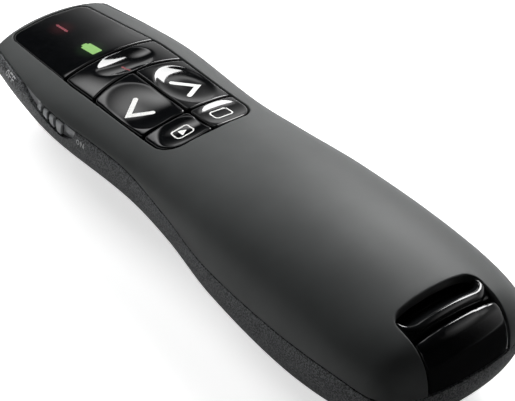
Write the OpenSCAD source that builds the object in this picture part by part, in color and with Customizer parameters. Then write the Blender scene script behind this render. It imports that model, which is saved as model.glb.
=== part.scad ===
// Wireless presentation clicker: a waisted two-part housing with an inlaid key panel,
// a laser in the nose, a slide power switch, two cells behind a sliding door and a
// plug-in radio receiver that is stowed in the tail.
// +Y points to the nose, +Z up, and the origin lies under the middle of the belly.

/* [Body] */
// Overall length, tail to nose
body_len = 115.5; // [112:0.5:119]
// Greatest width, over the palm bulge
palm_w = 37.8; // [37:0.1:39.5]
// Width just before the tail rounds off
rump_w = 37; // [36.6:0.1:38.5]
// Width that the tail narrows to
tail_w = 31.2; // [30:0.1:33]
// Width behind the waist
hip_w = 36; // [35.6:0.1:37.5]
// Width at the first finger, behind the keys
neck_w = 32.8; // [32.4:0.1:34.5]
// Least width, beside the rear keys
waist_w = 30.8; // [30.4:0.1:32.5]
// Width of the head, beside the laser key
head_w = 32.2; // [31.8:0.1:34]
// Width at the front of the window
brow_w = 30.2; // [29.6:0.1:31.5]
// Width across the nose
nose_w = 25.8; // [25.2:0.1:27.5]
// Height of the crown over the palm
palm_top = 25.6; // [25.4:0.1:27]
// Height of the top at the waist
waist_top = 21.2; // [21:0.1:22]
// Height of the top at the nose
nose_top = 16.4; // [16.2:0.1:17]
// Housing wall
wall = 1.7; // [1.5:0.05:1.8]
// Radius of the tail's rounded end
tail_round = 7.5; // [6.5:0.1:8.5]
// Radius of the nose's edge
nose_round = 1.6; // [1.2:0.1:2]
// Gap of the parting line between the two shells
seam_gap = 0.2; // [0.1:0.05:0.4]

/* [Panel] */
// Width of the key panel beside the laser key
panel_w = 20.5; // [20:0.1:21]
// Width of the panel at its front corners
panel_front_w = 17.2; // [16.6:0.1:18]
// Width of the panel at its rear corners
panel_rear_w = 20; // [19.6:0.1:20.4]
// Front edge of the panel, ahead of the cells' tray
panel_front = 57.5; // [57:0.1:57.7]
// Rear edge of the panel, ahead of the tray as all the lines of the keys are
panel_rear = 8; // [7.6:0.1:8.4]
// Line between the window and the laser key
laser_front = 38.4; // [38.2:0.1:39]
// Line between the laser key and the two page keys
laser_rear = 31; // [30.6:0.1:31.4]
// Line between the page keys and the two small keys
key_row = 15.6; // [15.2:0.1:16]
// Gap round each key
key_gap = 0.35; // [0.3:0.01:0.42]
// Thickness of the keys
key_t = 1.6; // [1.4:0.05:1.7]
// Travel of the keys
key_travel = 0.5; // [0.3:0.05:0.6]
// Depth of the finger dish in the page keys
dish_depth = 0.55; // [0.3:0.05:0.7]
// Thickness of the indicator window
window_t = 1.3; // [1.1:0.05:1.4]

/* [Electronics] */
// Height of the main board's upper face
board_top = 12.8; // [12.6:0.05:13]
// Thickness of the main board
board_t = 1; // [0.8:0.1:1.2]
// Width of the main board
board_w = 25; // [24:0.1:25.4]
// Side of a key switch's square case
tact_side = 6; // [5.4:0.1:6.2]
// Height of a key switch's case
tact_h = 3.1; // [2.9:0.05:3.15]
// Diameter of a key switch's plunger
plunger_d = 3.4; // [3:0.1:3.6]
// Diameter of the laser's barrel
barrel_d = 5.6; // [5:0.1:5.8]
// Length of the laser's barrel
barrel_len = 9.5; // [8.5:0.1:10]
// Diameter of the aperture in the nose
aperture_d = 4; // [3.6:0.1:4.4]

/* [Power switch] */
// Length of the switch's knob
knob_len = 7.4; // [7:0.1:7.8]
// Travel of the switch
switch_travel = 2.5; // [2:0.1:2.8]
// Depth of the pocket round the knob
pocket_depth = 0.9; // [0.7:0.05:1]

/* [Power] */
// Diameter of one cell
cell_d = 10.4; // [10:0.1:10.5]
// Length of one cell with its button
cell_len = 44.5; // [43.5:0.1:44.7]
// Height of the cells' undersides
cell_base = 4.75; // [4.7:0.05:4.8]
// Width of the battery door
door_w = 22; // [21.8:0.1:22.4]
// Wall of the battery door
door_t = 1.6; // [1.4:0.05:1.8]

/* [Receiver] */
// Width of the receiver
receiver_w = 17.2; // [17:0.1:17.4]
// Thickness of the receiver's flat body
receiver_t = 4.6; // [4.5:0.05:4.65]
// Width of the plug
plug_w = 12; // [11.9:0.05:12.1]
// Thickness of the plug
plug_t = 4.5; // [4.4:0.05:4.5]
// Length of the bare plug
plug_len = 12.3; // [11.5:0.1:12.6]
// Length of the receiver's head, from the tail's end
receiver_head_len = 5.35; // [4.95:0.1:5.55]
// Length of the notch in the tail
notch_len = 11.05; // [10.85:0.1:11.25]

/* [Hidden] */

reach = 80;
fit = 0.1;
tail_y = -body_len / 2;
nose_y = body_len / 2;

// The cells' part keeps its length behind this place, and a longer or shorter body stretches the head,
// whose places are drawn for this length
tray_front = tail_y + 56.55;
head_len = nose_y - tray_front;
drawn_head_len = 58.95;
function head_y(ahead) = tray_front + ahead * head_len / drawn_head_len;

// The board needs this width inside the shells
board_gap = 1.2;
room_w = board_w + 2 * (wall + board_gap);
flank_x = max(waist_w, room_w) / 2;

// Columns of the stations below
HALF_W = 1;
CROWN = 2;
BELLY = 3;
GIRTH = 4;
SEAM = 5;
// Cross-sections from tail to nose: place, half width, crown, belly, widest height, parting line
stations = [
  [tail_y, tail_w / 2, 22.6, 5.6, 13.4, 13.8],
  [tail_y + 11.75, rump_w / 2, 24.5, 2.3, 13.2, 15.3],
  [tail_y + 25.75, palm_w / 2, palm_top, -0.3, 13.1, 14.6],
  [tail_y + 44.75, hip_w / 2, 24.8, 1.1, 13.5, 14.3],
  [head_y(1.2), max(neck_w, room_w) / 2, 23.1, 3.9, 14.5, 15.7],
  [head_y(14.2), flank_x, waist_top, 4.7, 14.9, 16.6],
  [head_y(35.2), max(head_w, room_w) / 2, 19.9, 5.1, 14.4, 16.1],
  [head_y(47.2), max(brow_w, room_w - 0.6) / 2, 18.1, 6.5, 14.3, 15.9],
  [nose_y, nose_w / 2, nose_top, 7.6, 14.4, 15.4]
];
// Powers of the section's upper and lower curves, and of the rounded ends
crown_power = 2.2;
belly_power = 2.4;
end_power = 2.6;
// The nose is bowed in plan, which sets in at this place and grows to this rate
bow_y = head_y(21.2);
nose_bow = 0.011;
ring_points = 32;
cavity_points = 20;
ring_step = 5.5;

function clamp01(t) = min(1, max(0, t));
function rate(i, c) =
  let (a = max(i - 1, 0), b = min(i + 1, len(stations) - 1))
  (stations[b][c] - stations[a][c]) / (stations[b][0] - stations[a][0]);
function span(u, i = 0) = i >= len(stations) - 2 || u <= stations[i + 1][0] ? i : span(u, i + 1);
// A smooth curve through the stations' values of column c
function along(u, c) =
  let (i = span(u), h = stations[i + 1][0] - stations[i][0], t = (u - stations[i][0]) / h)
  stations[i][c] * (2 * t^3 - 3 * t^2 + 1) + rate(i, c) * h * (t^3 - 2 * t^2 + t)
  + stations[i + 1][c] * (3 * t^2 - 2 * t^3) + rate(i + 1, c) * h * (t^3 - t^2);
function end_scale(u, inset) =
  let (s = max(clamp01((tail_y + inset + tail_round - u) / tail_round),
               clamp01((u - nose_y + inset + nose_round) / nose_round)))
  (1 - s^end_power)^(1 / end_power);
function power(v, n) = sign(v) * abs(v)^(2 / n);
// One closed section of the body, set in from its surface
function ring(u, inset, points) =
  let (e = end_scale(u, inset), g = along(u, GIRTH),
       up = (along(u, CROWN) - inset - g) * e, down = (g - along(u, BELLY) - inset) * e,
       w = (along(u, HALF_W) - inset) * e)
  [for (j = [0:points - 1])
    let (a = 360 * j / points, upper = sin(a) >= 0, n = upper ? crown_power : belly_power,
         x = w * power(cos(a), n))
    [x, u - nose_bow * x^2 * clamp01((u - bow_y) / (nose_y - bow_y)),
     g + (upper ? up : down) * power(sin(a), n)]];
function ring_places(inset) =
  let (rear = tail_y + inset, front = nose_y - inset,
       first = rear + tail_round, last = front - nose_round,
       steps = ceil((last - first) / ring_step))
  concat([for (s = [1, 0.93, 0.8, 0.6, 0.35]) rear + tail_round * (1 - s)],
         [for (i = [0:steps]) first + (last - first) * i / steps],
         [for (s = [0.5, 0.8, 0.95, 1]) front - nose_round * (1 - s)]);
function skin_top(x, u) =
  along(u, GIRTH) + (along(u, CROWN) - along(u, GIRTH))
  * (1 - (abs(x) / along(u, HALF_W))^crown_power)^(1 / crown_power);

// The whole body, or its form set in by a wall
module body(inset = 0, points = ring_points) {
  places = ring_places(inset);
  for (i = [0:len(places) - 2])
    hull() polyhedron(concat(ring(places[i], inset, points), ring(places[i + 1], inset, points)),
                      [[for (j = [0:2 * points - 1]) j]]);
}
// A side profile drawn in Y and Z, and drawn through the body along X
module across(width) rotate([90, 0, 90]) translate([0, 0, -width / 2]) linear_extrude(width) children();
module up_from(z) translate([0, 0, z]) linear_extrude(reach) children();
module block(x, y, z) translate([x[0], y[0], z[0]]) cube([x[1] - x[0], y[1] - y[0], z[1] - z[0]]);
seam_steps = 22;
function seam_line(lift) =
  [for (i = [0:seam_steps]) let (y = tail_y - 3 + (body_len + 6) * i / seam_steps)
    [y, along(max(tail_y, min(nose_y, y)), SEAM) + lift]];
module above_seam() across(reach)
  polygon(concat(seam_line(seam_gap / 2), [[nose_y + 3, reach], [tail_y - 3, reach]]));
module below_seam() across(reach)
  polygon(concat(seam_line(-seam_gap / 2), [[nose_y + 3, -reach], [tail_y - 3, -reach]]));

// ---- Key panel in plan ----
panel_front_y = head_y(panel_front);
panel_rear_y = head_y(panel_rear);
laser_front_y = head_y(laser_front);
laser_rear_y = head_y(laser_rear);
key_row_y = head_y(key_row);
panel_corner = 4;
front_corner = 2.2;
laser_front_r = 90;
laser_rear_r = 32;
module panel_plan() hull() {
  translate([0, panel_front_y - 3]) circle(3, $fn = 32);
  translate([0, panel_rear_y + 5]) circle(5, $fn = 32);
  for (s = [-1, 1]) {
    translate([s * (panel_front_w / 2 - front_corner), panel_front_y - 0.5 - front_corner])
      circle(front_corner, $fn = 32);
    translate([s * (panel_w / 2 - 6), laser_front_y - 3]) circle(6, $fn = 32);
    translate([s * (panel_rear_w / 2 - panel_corner), panel_rear_y + 0.3 + panel_corner])
      circle(panel_corner, $fn = 32);
  }
}
module behind_window(grow = 0) translate([0, laser_front_y - laser_front_r]) circle(laser_front_r + grow, $fn = 180);
module behind_laser(grow = 0) translate([0, laser_rear_y - laser_rear_r]) circle(laser_rear_r + grow, $fn = 96);
module half_plane(side, from) translate([side > 0 ? from : -from - reach, -reach]) square([reach, 2 * reach]);
module soften(r) offset(r = r, $fn = 24) offset(delta = -r) children();
module key_field() offset(delta = -key_gap) panel_plan();
module window_plan() soften(0.4) difference() {
  offset(delta = -fit) panel_plan();
  behind_window(key_gap / 2);
}
module laser_plan() soften(0.5) difference() {
  intersection() { key_field(); behind_window(-key_gap / 2); }
  behind_laser(key_gap / 2);
}
module page_plan(side) soften(0.6) intersection() {
  key_field();
  behind_laser(-key_gap / 2);
  half_plane(side, key_gap / 2);
  translate([-reach, key_row_y + key_gap / 2]) square(2 * reach);
}
module small_plan(side) soften(0.6) intersection() {
  key_field();
  half_plane(side, key_gap / 2);
  translate([-reach, key_row_y - key_gap / 2 - reach]) square([2 * reach, reach]);
}

// ---- Key switches and stems ----
page_x = 5.1;
page_y = (laser_rear_y + key_row_y) / 2 - 0.6;
small_x = 4.9;
small_y = (key_row_y + panel_rear_y) / 2;
laser_y = (laser_front_y + laser_rear_y) / 2 - 0.4;
plunger_h = 1.1;
plunger_top = board_top + tact_h + plunger_h;
stem_r = 1.8;
stem_play = 0.3;
deck_depth = 2.7;
deck_t = 1.1;
well_step = 0.05;
// Places of the five keys: laser, back, forward, play and blank
key_places = [[0, laser_y], [-page_x, page_y], [page_x, page_y], [-small_x, small_y], [small_x, small_y]];

// ---- Screws that join the shells at the head ----
screw_x = 8.6;
screw_y = nose_y - 9.15;
screw_r = 1;
screw_head_r = 1.9;
screw_head_h = 1.3;
screw_seat = 10.2;
boss_joint = 11.6;
screw_tip = 14.3;

// ---- Lip of the upper shell below the window's front edge ----
head_lip_y = head_y(46.2);
lip_z = along(head_y(53.2), SEAM) + seam_gap / 2 + 0.2;

// ---- Laser ----
barrel_z = 11.3;
barrel_front = nose_y - wall - 0.5;
board_front = barrel_front - barrel_len - 2.65;

// ---- Indicator strip ----
strip_z = barrel_z + barrel_d / 2 + 0.1;
strip_t = 0.4;
led_h = 0.7;
led_top = strip_z + strip_t + led_h;
green_led_y = head_y(42.2);
red_led_y = head_y(51.8);

// ---- Cells, tray and door ----
cell_x = cell_d / 2 + 0.25;
cell_z = cell_base + cell_d / 2;
spring_len = 2.2;
plate_t = 0.4;
bay_front = tray_front - plate_t - 1.1;
bay_rear = bay_front - cell_len - spring_len;
tray_top = cell_base + cell_d + 0.6;
tray_base = 6.2;
tray_rear = bay_rear - plate_t - 1.1;
rail_top = 5.3;
rail_groove = 4.1;
rail_w = 0.8;
rail_block_w = 2.3;
rail_front = tail_y + 44.75;
rail_rear = tail_y + 14.75;
door_front = bay_front + 0.5;
door_corner = 3;
door_play = 0.15;
door_tail_z = 9.2;
rib_y = tail_y + 16.75;

// ---- Receiver ----
receiver_base_z = tray_top + 0.2;
receiver_mid_z = receiver_base_z + receiver_t / 2;
receiver_top_z = receiver_base_z + receiver_t;
receiver_head_y = tail_y + receiver_head_len;
notch_y = tail_y + notch_len;
housing_front = tail_y + 37.55;
plug_front = housing_front + plug_len;
notch_w = receiver_w + 0.5;
bay_wall = 0.9;
head_base_z = along(tail_y, SEAM) + 0.45;
receiver_shell_t = 0.8;

module notch_plan(shrink) offset(r = 2.6, $fn = 32) offset(delta = -2.6 - shrink)
  polygon([[-notch_w / 2, -reach], [notch_w / 2, -reach], [notch_w / 2, notch_y - 0.5],
           [notch_w / 4, notch_y - 0.1], [0, notch_y], [-notch_w / 4, notch_y - 0.1], [-notch_w / 2, notch_y - 0.5]]);

module upper_shell() {
  color("#45474a") difference() {
    union() {
      difference() {
        intersection() {
          above_seam();
          body();
        }
        body(wall, cavity_points);
      }
      intersection() {
        union() {
          above_seam();
          body(wall + 0.15, cavity_points);
        }
        union() {
          // Deck that carries the window and closes the space below the keys
          intersection() {
            union() {
              above_seam();
              block([-reach, reach], [head_lip_y, nose_y - 4], [led_top + 0.1, reach]);
            }
            up_from(0) offset(delta = 1.2) panel_plan();
            difference() {
              body(window_t);
              body(deck_depth + deck_t, cavity_points);
            }
          }
          for (s = [-1, 1]) translate([s * screw_x, screw_y, boss_joint])
            cylinder(h = skin_top(screw_x, screw_y) - window_t - 0.2 - boss_joint, r = 2.4, $fn = 24);
        }
      }
    }
    // Seat of the window
    difference() {
      up_from(0) panel_plan();
      body(window_t);
      block([-reach, reach], [head_lip_y, reach], [0, lip_z]);
    }
    // Well of the keys
    difference() {
      up_from(0) intersection() { offset(delta = -well_step) panel_plan(); behind_window(); }
      body(deck_depth);
    }
    // Underside of the window's deck is as thin as the walls
    intersection() {
      up_from(0) difference() { offset(delta = 1.35) panel_plan(); behind_window(deck_t); screw_plans(2.7); }
      body(window_t + deck_t, cavity_points);
    }
    for (p = key_places) translate([p[0], p[1], 0]) cylinder(h = reach, r = stem_r + stem_play, $fn = 24);
    for (y = [green_led_y, red_led_y]) block([-1.4, 1.4], [y - 1.9, y + 1.9], [0, reach]);
    for (s = [-1, 1]) translate([s * screw_x, screw_y, 0])
      cylinder(h = screw_tip + 0.3, r = screw_r + 0.05, $fn = 16);
    up_from(0) notch_plan(0);
  }
}
module screw_plans(r) for (s = [-1, 1]) translate([s * screw_x, screw_y]) circle(r, $fn = 24);

// Rising line above the door: flat under the cells, then up round the tail
function door_line(drop, front) =
  [[front, rail_top - drop], [tail_y + 9.25, rail_top - drop], [tail_y + 5.25, 7 - drop],
   [tail_y + 1.75, door_tail_z - 0.2 - drop], [tail_y - 2.25, door_tail_z - drop]];
module door_space(width, drop, front) intersection() {
  translate([0, 0, -10]) linear_extrude(30) offset(r = door_corner, $fn = 32) offset(delta = -door_corner)
    polygon([[-width / 2, -reach], [width / 2, -reach], [width / 2, front], [-width / 2, front]]);
  across(width) polygon(concat(door_line(drop, front), [[tail_y - 2.25, -10], [front, -10]]));
}
module rail(x, y, z) {
  block(x, y, z);
  block([-x[1], -x[0]], y, z);
}

// Teardrop pocket of the power switch, in Y and Z
pocket_y = head_y(31.6);
pocket_len = 12.8;
pocket_h = 2.45;
pocket_z = along(pocket_y, SEAM) - 0.4;
module pocket_profile(shrink) offset(delta = -shrink) hull() {
  translate([pocket_y, pocket_z]) scale([4.4 / pocket_h, 1]) circle(pocket_h, $fn = 32);
  translate([pocket_y + pocket_len, pocket_z]) circle(0.15, $fn = 8);
}
slot_h = 1.2;
slot_z = board_top + 1.15;
knob_rear = pocket_y - 0.8;
knob_play = 0.15;
knob_top = along(knob_rear + knob_len + switch_travel, SEAM) - seam_gap - knob_play;
neck_len = 4;

module lower_shell() {
  color("#4a4b4d") difference() {
    intersection() {
      body();
      below_seam();
      translate([0, 0, reach / 2]) cube([reach, 2 * reach, reach], center = true);
    }
    difference() {
      body(wall, cavity_points);
      // Rails beside the door, and the sill ahead of it
      rail([door_w / 2 - 0.4, door_w / 2 + rail_block_w], [tail_y + 10.75, door_front + 1.4], [-1, tray_base]);
      block([-door_w / 2 - 1, door_w / 2 + 1], [door_front - 0.35, door_front + 1.3], [-1, tray_base - 0.06]);
      for (s = [-1, 1]) translate([s * screw_x, screw_y, 0]) cylinder(h = boss_joint, r = 3, $fn = 24);
      // Posts under the main board
      for (s = [-1, 1], y = [head_y(8.2), head_y(41.2)]) translate([s * 9.5, y, 0])
        cylinder(h = board_top - board_t, r = 1.5, $fn = 16);
      // Cradle of the laser
      block([-4, 4], [barrel_front - barrel_len + 1, barrel_front - barrel_len + 2.2], [0, barrel_z]);
      block([-4, 4], [barrel_front - 2.4, barrel_front - 1.2], [0, barrel_z]);
      // Thick wall behind the switch's pocket
      intersection() {
        across(reach) offset(delta = 0.8) pocket_profile(0);
        block([-reach, 1.5 - flank_x], [pocket_y - 6, pocket_y + pocket_len + 1], [0, reach]);
      }
    }
    door_space(door_w + 2 * door_play, 0, door_front + door_play);
    rail([8, door_w / 2 + rail_w + door_play], [tail_y - 2.25, rail_front + 0.38], [rail_groove, rail_top - 0.04]);
    for (s = [-1, 1]) translate([s * cell_x, bay_rear, cell_z]) rotate([-90, 0, 0])
      cylinder(h = bay_front - bay_rear, r = cell_d / 2 + 0.2, $fn = 48);
    // Pocket and slot of the switch
    difference() {
      across(reach) pocket_profile(0);
      block([-14.9, reach], [-reach, reach], [0, reach]);
      body(pocket_depth, cavity_points);
    }
    block([-reach, 5.4 - flank_x], [knob_rear + 1.5, knob_rear + 1.5 + neck_len + switch_travel + 0.4],
          [slot_z - slot_h / 2 - fit, slot_z + slot_h / 2 + fit]);
    translate([0, nose_y - 4, barrel_z]) rotate([-90, 0, 0]) cylinder(h = 8, r = aperture_d / 2, $fn = 32);
    translate([0, barrel_front - barrel_len - 1, barrel_z]) rotate([-90, 0, 0])
      cylinder(h = barrel_len + 1.2, r = barrel_d / 2 + fit, $fn = 32);
    for (s = [-1, 1]) translate([s * screw_x, screw_y, -1]) {
      cylinder(h = reach / 2, r = screw_r + 0.15, $fn = 16);
      cylinder(h = screw_seat + 1, r = screw_head_r + 0.2, $fn = 24);
    }
  }
}

module indicator_window() {
  color("#101113") difference() {
    intersection() {
      body();
      up_from(board_top) window_plan();
    }
    body(window_t - 0.02);
    block([-reach, reach], [head_lip_y, reach], [0, lip_z + 0.02]);
  }
}

// A key's cap follows the body's skin, and its stem stands on the switch's plunger
module key(place, thickness) {
  difference() {
    intersection() {
      body();
      up_from(board_top) children();
    }
    body(thickness, cavity_points);
  }
  translate([place[0], place[1], plunger_top])
    cylinder(h = skin_top(place[0], place[1]) - 1.1 - plunger_top, r = stem_r, $fn = 24);
}
module dish(place, depth, r) translate([place[0], place[1], skin_top(place[0], place[1]) - depth + r])
  sphere(r, $fn = 64);

module laser_button() color("#17181a") difference() {
  key(key_places[0], key_t) laser_plan();
  dish([0, laser_y], 0.4, 24);
}
module back_button() color("#17181a") difference() {
  key(key_places[1], key_t) page_plan(-1);
  dish([-page_x, page_y], dish_depth, 30);
}
module forward_button() color("#17181a") difference() {
  key(key_places[2], key_t) page_plan(1);
  dish([page_x, page_y], dish_depth, 30);
}
module play_button() color("#17181a") key(key_places[3], key_t) small_plan(-1);
module blank_button() color("#17181a") key(key_places[4], key_t) small_plan(1);

module tact_switch(i) color("#2c2c2e") translate([key_places[i][0], key_places[i][1], board_top]) {
  difference() {
    translate([-tact_side / 2, -tact_side / 2, 0]) cube([tact_side, tact_side, tact_h]);
    translate([0, 0, tact_h - key_travel - 0.4]) cylinder(h = tact_h, r = plunger_d / 2 + 0.05, $fn = 32);
  }
}
module plunger(i) color("#c9b48a") translate([key_places[i][0], key_places[i][1], board_top + tact_h - 0.3])
  cylinder(h = plunger_h + 0.3, r = plunger_d / 2, $fn = 32);

module finger_scoop() {
  color("#0d0e10") difference() {
    intersection() {
      body();
      up_from(receiver_top_z + 0.15) intersection() {
        notch_plan(fit);
        block2([-reach, reach], [receiver_head_y + 0.35, notch_y]);
      }
    }
    intersection() {
      up_from(0) offset(r = 2, $fn = 24) offset(delta = -2)
        block2([-notch_w / 2 + 0.8, notch_w / 2 - 0.8], [receiver_head_y - 4, notch_y - 0.7]);
      translate([0, notch_y - 1.9, receiver_top_z + 5.6]) rotate([0, 90, 0])
        cylinder(h = reach, r = 4.8, center = true, $fn = 96);
    }
  }
}
module block2(x, y) translate([x[0], y[0]]) square([x[1] - x[0], y[1] - y[0]]);

module receiver_bay() {
  inner = receiver_w / 2 + 0.2;
  color("#1b1c1e") difference() {
    block([-inner - bay_wall, inner + bay_wall], [notch_y + 0.9, plug_front + 2.2], [tray_top, receiver_top_z]);
    block([-inner, inner], [notch_y, plug_front + 0.8], [tray_top - 1, receiver_top_z + 1]);
  }
}

module cell_room(clear) for (s = [-1, 1]) {
  translate([s * cell_x, bay_rear, cell_z]) rotate([-90, 0, 0])
    cylinder(h = bay_front - bay_rear, r = cell_d / 2 + clear, $fn = 48);
  block([s * cell_x - cell_d / 2 - clear, s * cell_x + cell_d / 2 + clear], [bay_rear, bay_front], [0, cell_z]);
}
module battery_tray() {
  color("#26272a") difference() {
    intersection() {
      body(wall + 0.15, cavity_points);
      block([-12.4, 12.4], [tray_rear, tray_front], [tray_base, tray_top]);
    }
    cell_room(0.15);
    for (y = [bay_rear - plate_t, bay_front]) block([-10.8, 10.8], [y - 0.02, y + plate_t + 0.02], [0, cell_z + 4.6]);
  }
}
module contact_front() color("#c8c8c4") for (s = [-1, 1])
  block([s * cell_x - 4, s * cell_x + 4], [bay_front, bay_front + plate_t], [cell_z - 3, cell_z + 4]);
module contact_rear() color("#c8c8c4")
  block([-cell_x - 4, cell_x + 4], [bay_rear - plate_t, bay_rear], [cell_z - 3.5, cell_z + 4]);

// Conical coil: a wire swept along a tightening helix
coil_turns = 2.5;
coil_steps = 10;
wire_r = 0.3;
coil_sides = 6;
coil_top_r = 1.6;
coil_foot_r = 3.2;
function coil_point(k, j) =
  let (n = coil_turns * coil_steps, t = k / n, a = 360 * k / coil_steps, q = 360 * j / coil_sides,
       r = coil_foot_r + (coil_top_r - coil_foot_r) * t + wire_r * cos(q))
  [r * cos(a), r * sin(a), wire_r + (spring_len - 2 * wire_r - 0.1) * t + wire_r * sin(q)];
module coil() {
  n = coil_turns * coil_steps;
  m = coil_sides;
  polyhedron(
    [for (k = [0:n], j = [0:m - 1]) coil_point(k, j)],
    concat([[for (j = [0:m - 1]) j]],
           [for (k = [0:n - 1], j = [0:m - 1]) let (b = k * m, i = (j + 1) % m)
             each [[b + j, b + m + j, b + i], [b + i, b + m + j, b + m + i]]],
           [[for (j = [m - 1:-1:0]) n * m + j]]));
}
module contact_spring_left() color("#d2d0c8")
  translate([-cell_x, bay_rear, cell_z]) rotate([-90, 0, 0]) coil();
module contact_spring_right() color("#d2d0c8")
  translate([cell_x, bay_front, cell_z]) rotate([90, 0, 0]) coil();

cell_nub = 0.8;
module cell() {
  cylinder(h = cell_len - cell_nub, r = cell_d / 2, $fn = 48);
  translate([0, 0, cell_len - cell_nub]) cylinder(h = cell_nub, r = 1.9, $fn = 32);
}
module battery_left() color("#b98b3a")
  translate([-cell_x, bay_front - cell_len, cell_z]) rotate([-90, 0, 0]) cell();
module battery_right() color("#b98b3a")
  translate([cell_x, bay_rear + cell_len, cell_z]) rotate([90, 0, 0]) cell();

module main_board() color("#1f5a3a") difference() {
  block([-board_w / 2, board_w / 2], [tray_front + 2.8, board_front], [board_top - board_t, board_top]);
  for (s = [-1, 1]) translate([s * board_w / 2, board_front, 0]) rotate([0, 0, 45])
    cube([4, 4, reach], center = true);
}

switch_x = [-board_w / 2 - 0.6, -board_w / 2 + 2.2];
actuator_w = 1.4;
module slide_switch() color("#b8bab8") difference() {
  block(switch_x, [knob_rear - 0.2, knob_rear + 9.4], [board_top, board_top + 1.9]);
  block([switch_x[0] - 1, switch_x[0] + 1.3],
        [knob_rear + 1.6 + 1.2, knob_rear + 1.6 + 1.4 + actuator_w + switch_travel + 0.2],
        [slot_z - 0.45, slot_z + 0.45]);
}
module switch_actuator() color("#202022")
  block([1.1 - flank_x, switch_x[0] + 1], [knob_rear + 3, knob_rear + 3 + actuator_w], [slot_z - 0.35, slot_z + 0.35]);

module power_switch() color("#6c6e70") difference() {
  union() {
    difference() {
      intersection() {
        body(0.05);
        across(reach) intersection() {
          pocket_profile(knob_play);
          translate([-switch_travel, 0]) pocket_profile(knob_play);
          translate([knob_rear, 0]) square([knob_len, knob_top]);
        }
        block([-reach, 0.5 - flank_x], [0, reach], [0, reach]);
      }
      body(pocket_depth - 0.15, cavity_points);
    }
    block([0.05 - flank_x, 1.1 - flank_x], [knob_rear + 1.7, knob_rear + 1.7 + neck_len],
          [slot_z - slot_h / 2, slot_z + slot_h / 2]);
  }
  // Three slanted grooves leave the finger ribs
  for (i = [0:2]) translate([-flank_x - 0.35, knob_rear + 1.6 + 2.1 * i, pocket_z - 1.1]) rotate([32, 0, 0])
    cube([0.9, 0.8, 6], center = true);
}

module radio_chip() color("#161616") block([-2, 2], [laser_rear_y - 5, laser_rear_y - 1], [board_top, board_top + 0.9]);
module crystal() color("#c9c9c9") block([8.4, 11.6], [laser_rear_y - 3.3, laser_rear_y - 0.8], [board_top, board_top + 0.8]);

module laser_barrel() color("#b08d4a") translate([0, barrel_front - barrel_len, barrel_z]) rotate([-90, 0, 0])
  difference() {
    cylinder(h = barrel_len, r = barrel_d / 2, $fn = 48);
    translate([0, 0, barrel_len - 1.6]) cylinder(h = 3, r = 2.05, $fn = 48);
    translate([0, 0, -1]) cylinder(h = barrel_len, r = 1.2, $fn = 32);
  }
module laser_lens() color("#cfe3ee") translate([0, barrel_front - 1.6, barrel_z]) rotate([-90, 0, 0])
  cylinder(h = 0.9, r = 2, $fn = 48);
module laser_driver() color("#1f5a3a")
  block([-2.6, 2.6], [barrel_front - barrel_len - 3.8, barrel_front - barrel_len], [barrel_z - 0.5, barrel_z + 0.3]);

module led_board() color("#1f5a3a") block([-3, 3], [green_led_y - 2.6, red_led_y + 2.6], [strip_z, strip_z + strip_t]);
module led(y) block([-0.6, 0.6], [y - 1, y + 1], [strip_z + strip_t, strip_z + strip_t + led_h]);
module battery_led() color("#7fd06a") led(green_led_y);
module laser_led() color("#d04a3a") led(red_led_y);

module casing_screws() color("#8a8c90") for (s = [-1, 1]) translate([s * screw_x, screw_y, 0]) difference() {
  union() {
    translate([0, 0, screw_seat - screw_head_h]) cylinder(h = screw_head_h, r = screw_head_r, $fn = 32);
    translate([0, 0, screw_seat]) cylinder(h = screw_tip - screw_seat, r = screw_r, $fn = 24);
  }
  for (a = [0, 90]) rotate([0, 0, a]) translate([0, 0, screw_seat - screw_head_h]) cube([2.2, 0.4, 1.2], center = true);
}

module receiver_form() {
  intersection() {
    body(0.05);
    block([-receiver_w / 2, receiver_w / 2], [-reach, receiver_head_y], [head_base_z, reach]);
  }
  block([-receiver_w / 2, receiver_w / 2], [receiver_head_y - 0.5, housing_front], [receiver_base_z, receiver_top_z]);
}
module receiver_hollow() block(
  [-receiver_w / 2 + receiver_shell_t, receiver_w / 2 - receiver_shell_t],
  [receiver_head_y + 1.4, housing_front - receiver_shell_t],
  [receiver_base_z + receiver_shell_t, receiver_top_z - receiver_shell_t]);
module receiver_mouth() block([-plug_w / 2, plug_w / 2], [housing_front - 3, housing_front + 1],
  [receiver_mid_z - plug_t / 2, receiver_mid_z + plug_t / 2]);
module receiver_cover() color("#0d0e10") difference() {
  receiver_form();
  receiver_hollow();
  receiver_mouth();
  block([-reach, reach], [-reach, reach], [0, receiver_mid_z]);
}
module receiver_base() color("#141517") difference() {
  receiver_form();
  receiver_hollow();
  receiver_mouth();
  block([-reach, reach], [-reach, reach], [receiver_mid_z, reach]);
}
module receiver_board() color("#1f5a3a") block([-7.2, 7.2], [receiver_head_y + 1.8, housing_front - 3.4],
  [receiver_base_z + receiver_shell_t, receiver_base_z + receiver_shell_t + 0.8]);
module receiver_chip() color("#161616")
  block([-2.5, 2.5], [receiver_head_y + 14.4, receiver_head_y + 19.4], [receiver_base_z + receiver_shell_t + 0.8, receiver_base_z + receiver_shell_t + 1.7]);
module usb_shell() color("#c4c6c8") difference() {
  block([-plug_w / 2, plug_w / 2], [housing_front - 3, plug_front],
        [receiver_mid_z - plug_t / 2, receiver_mid_z + plug_t / 2]);
  block([-plug_w / 2 + 0.35, plug_w / 2 - 0.35], [housing_front - 4, plug_front + 1],
        [receiver_mid_z - plug_t / 2 + 0.35, receiver_mid_z + plug_t / 2 - 0.35]);
  for (s = [-1, 1], z = [-1, 1]) translate([s * 2.7, plug_front - 5, receiver_mid_z + z * plug_t / 2])
    cube([2, 2.4, 1], center = true);
}
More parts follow.
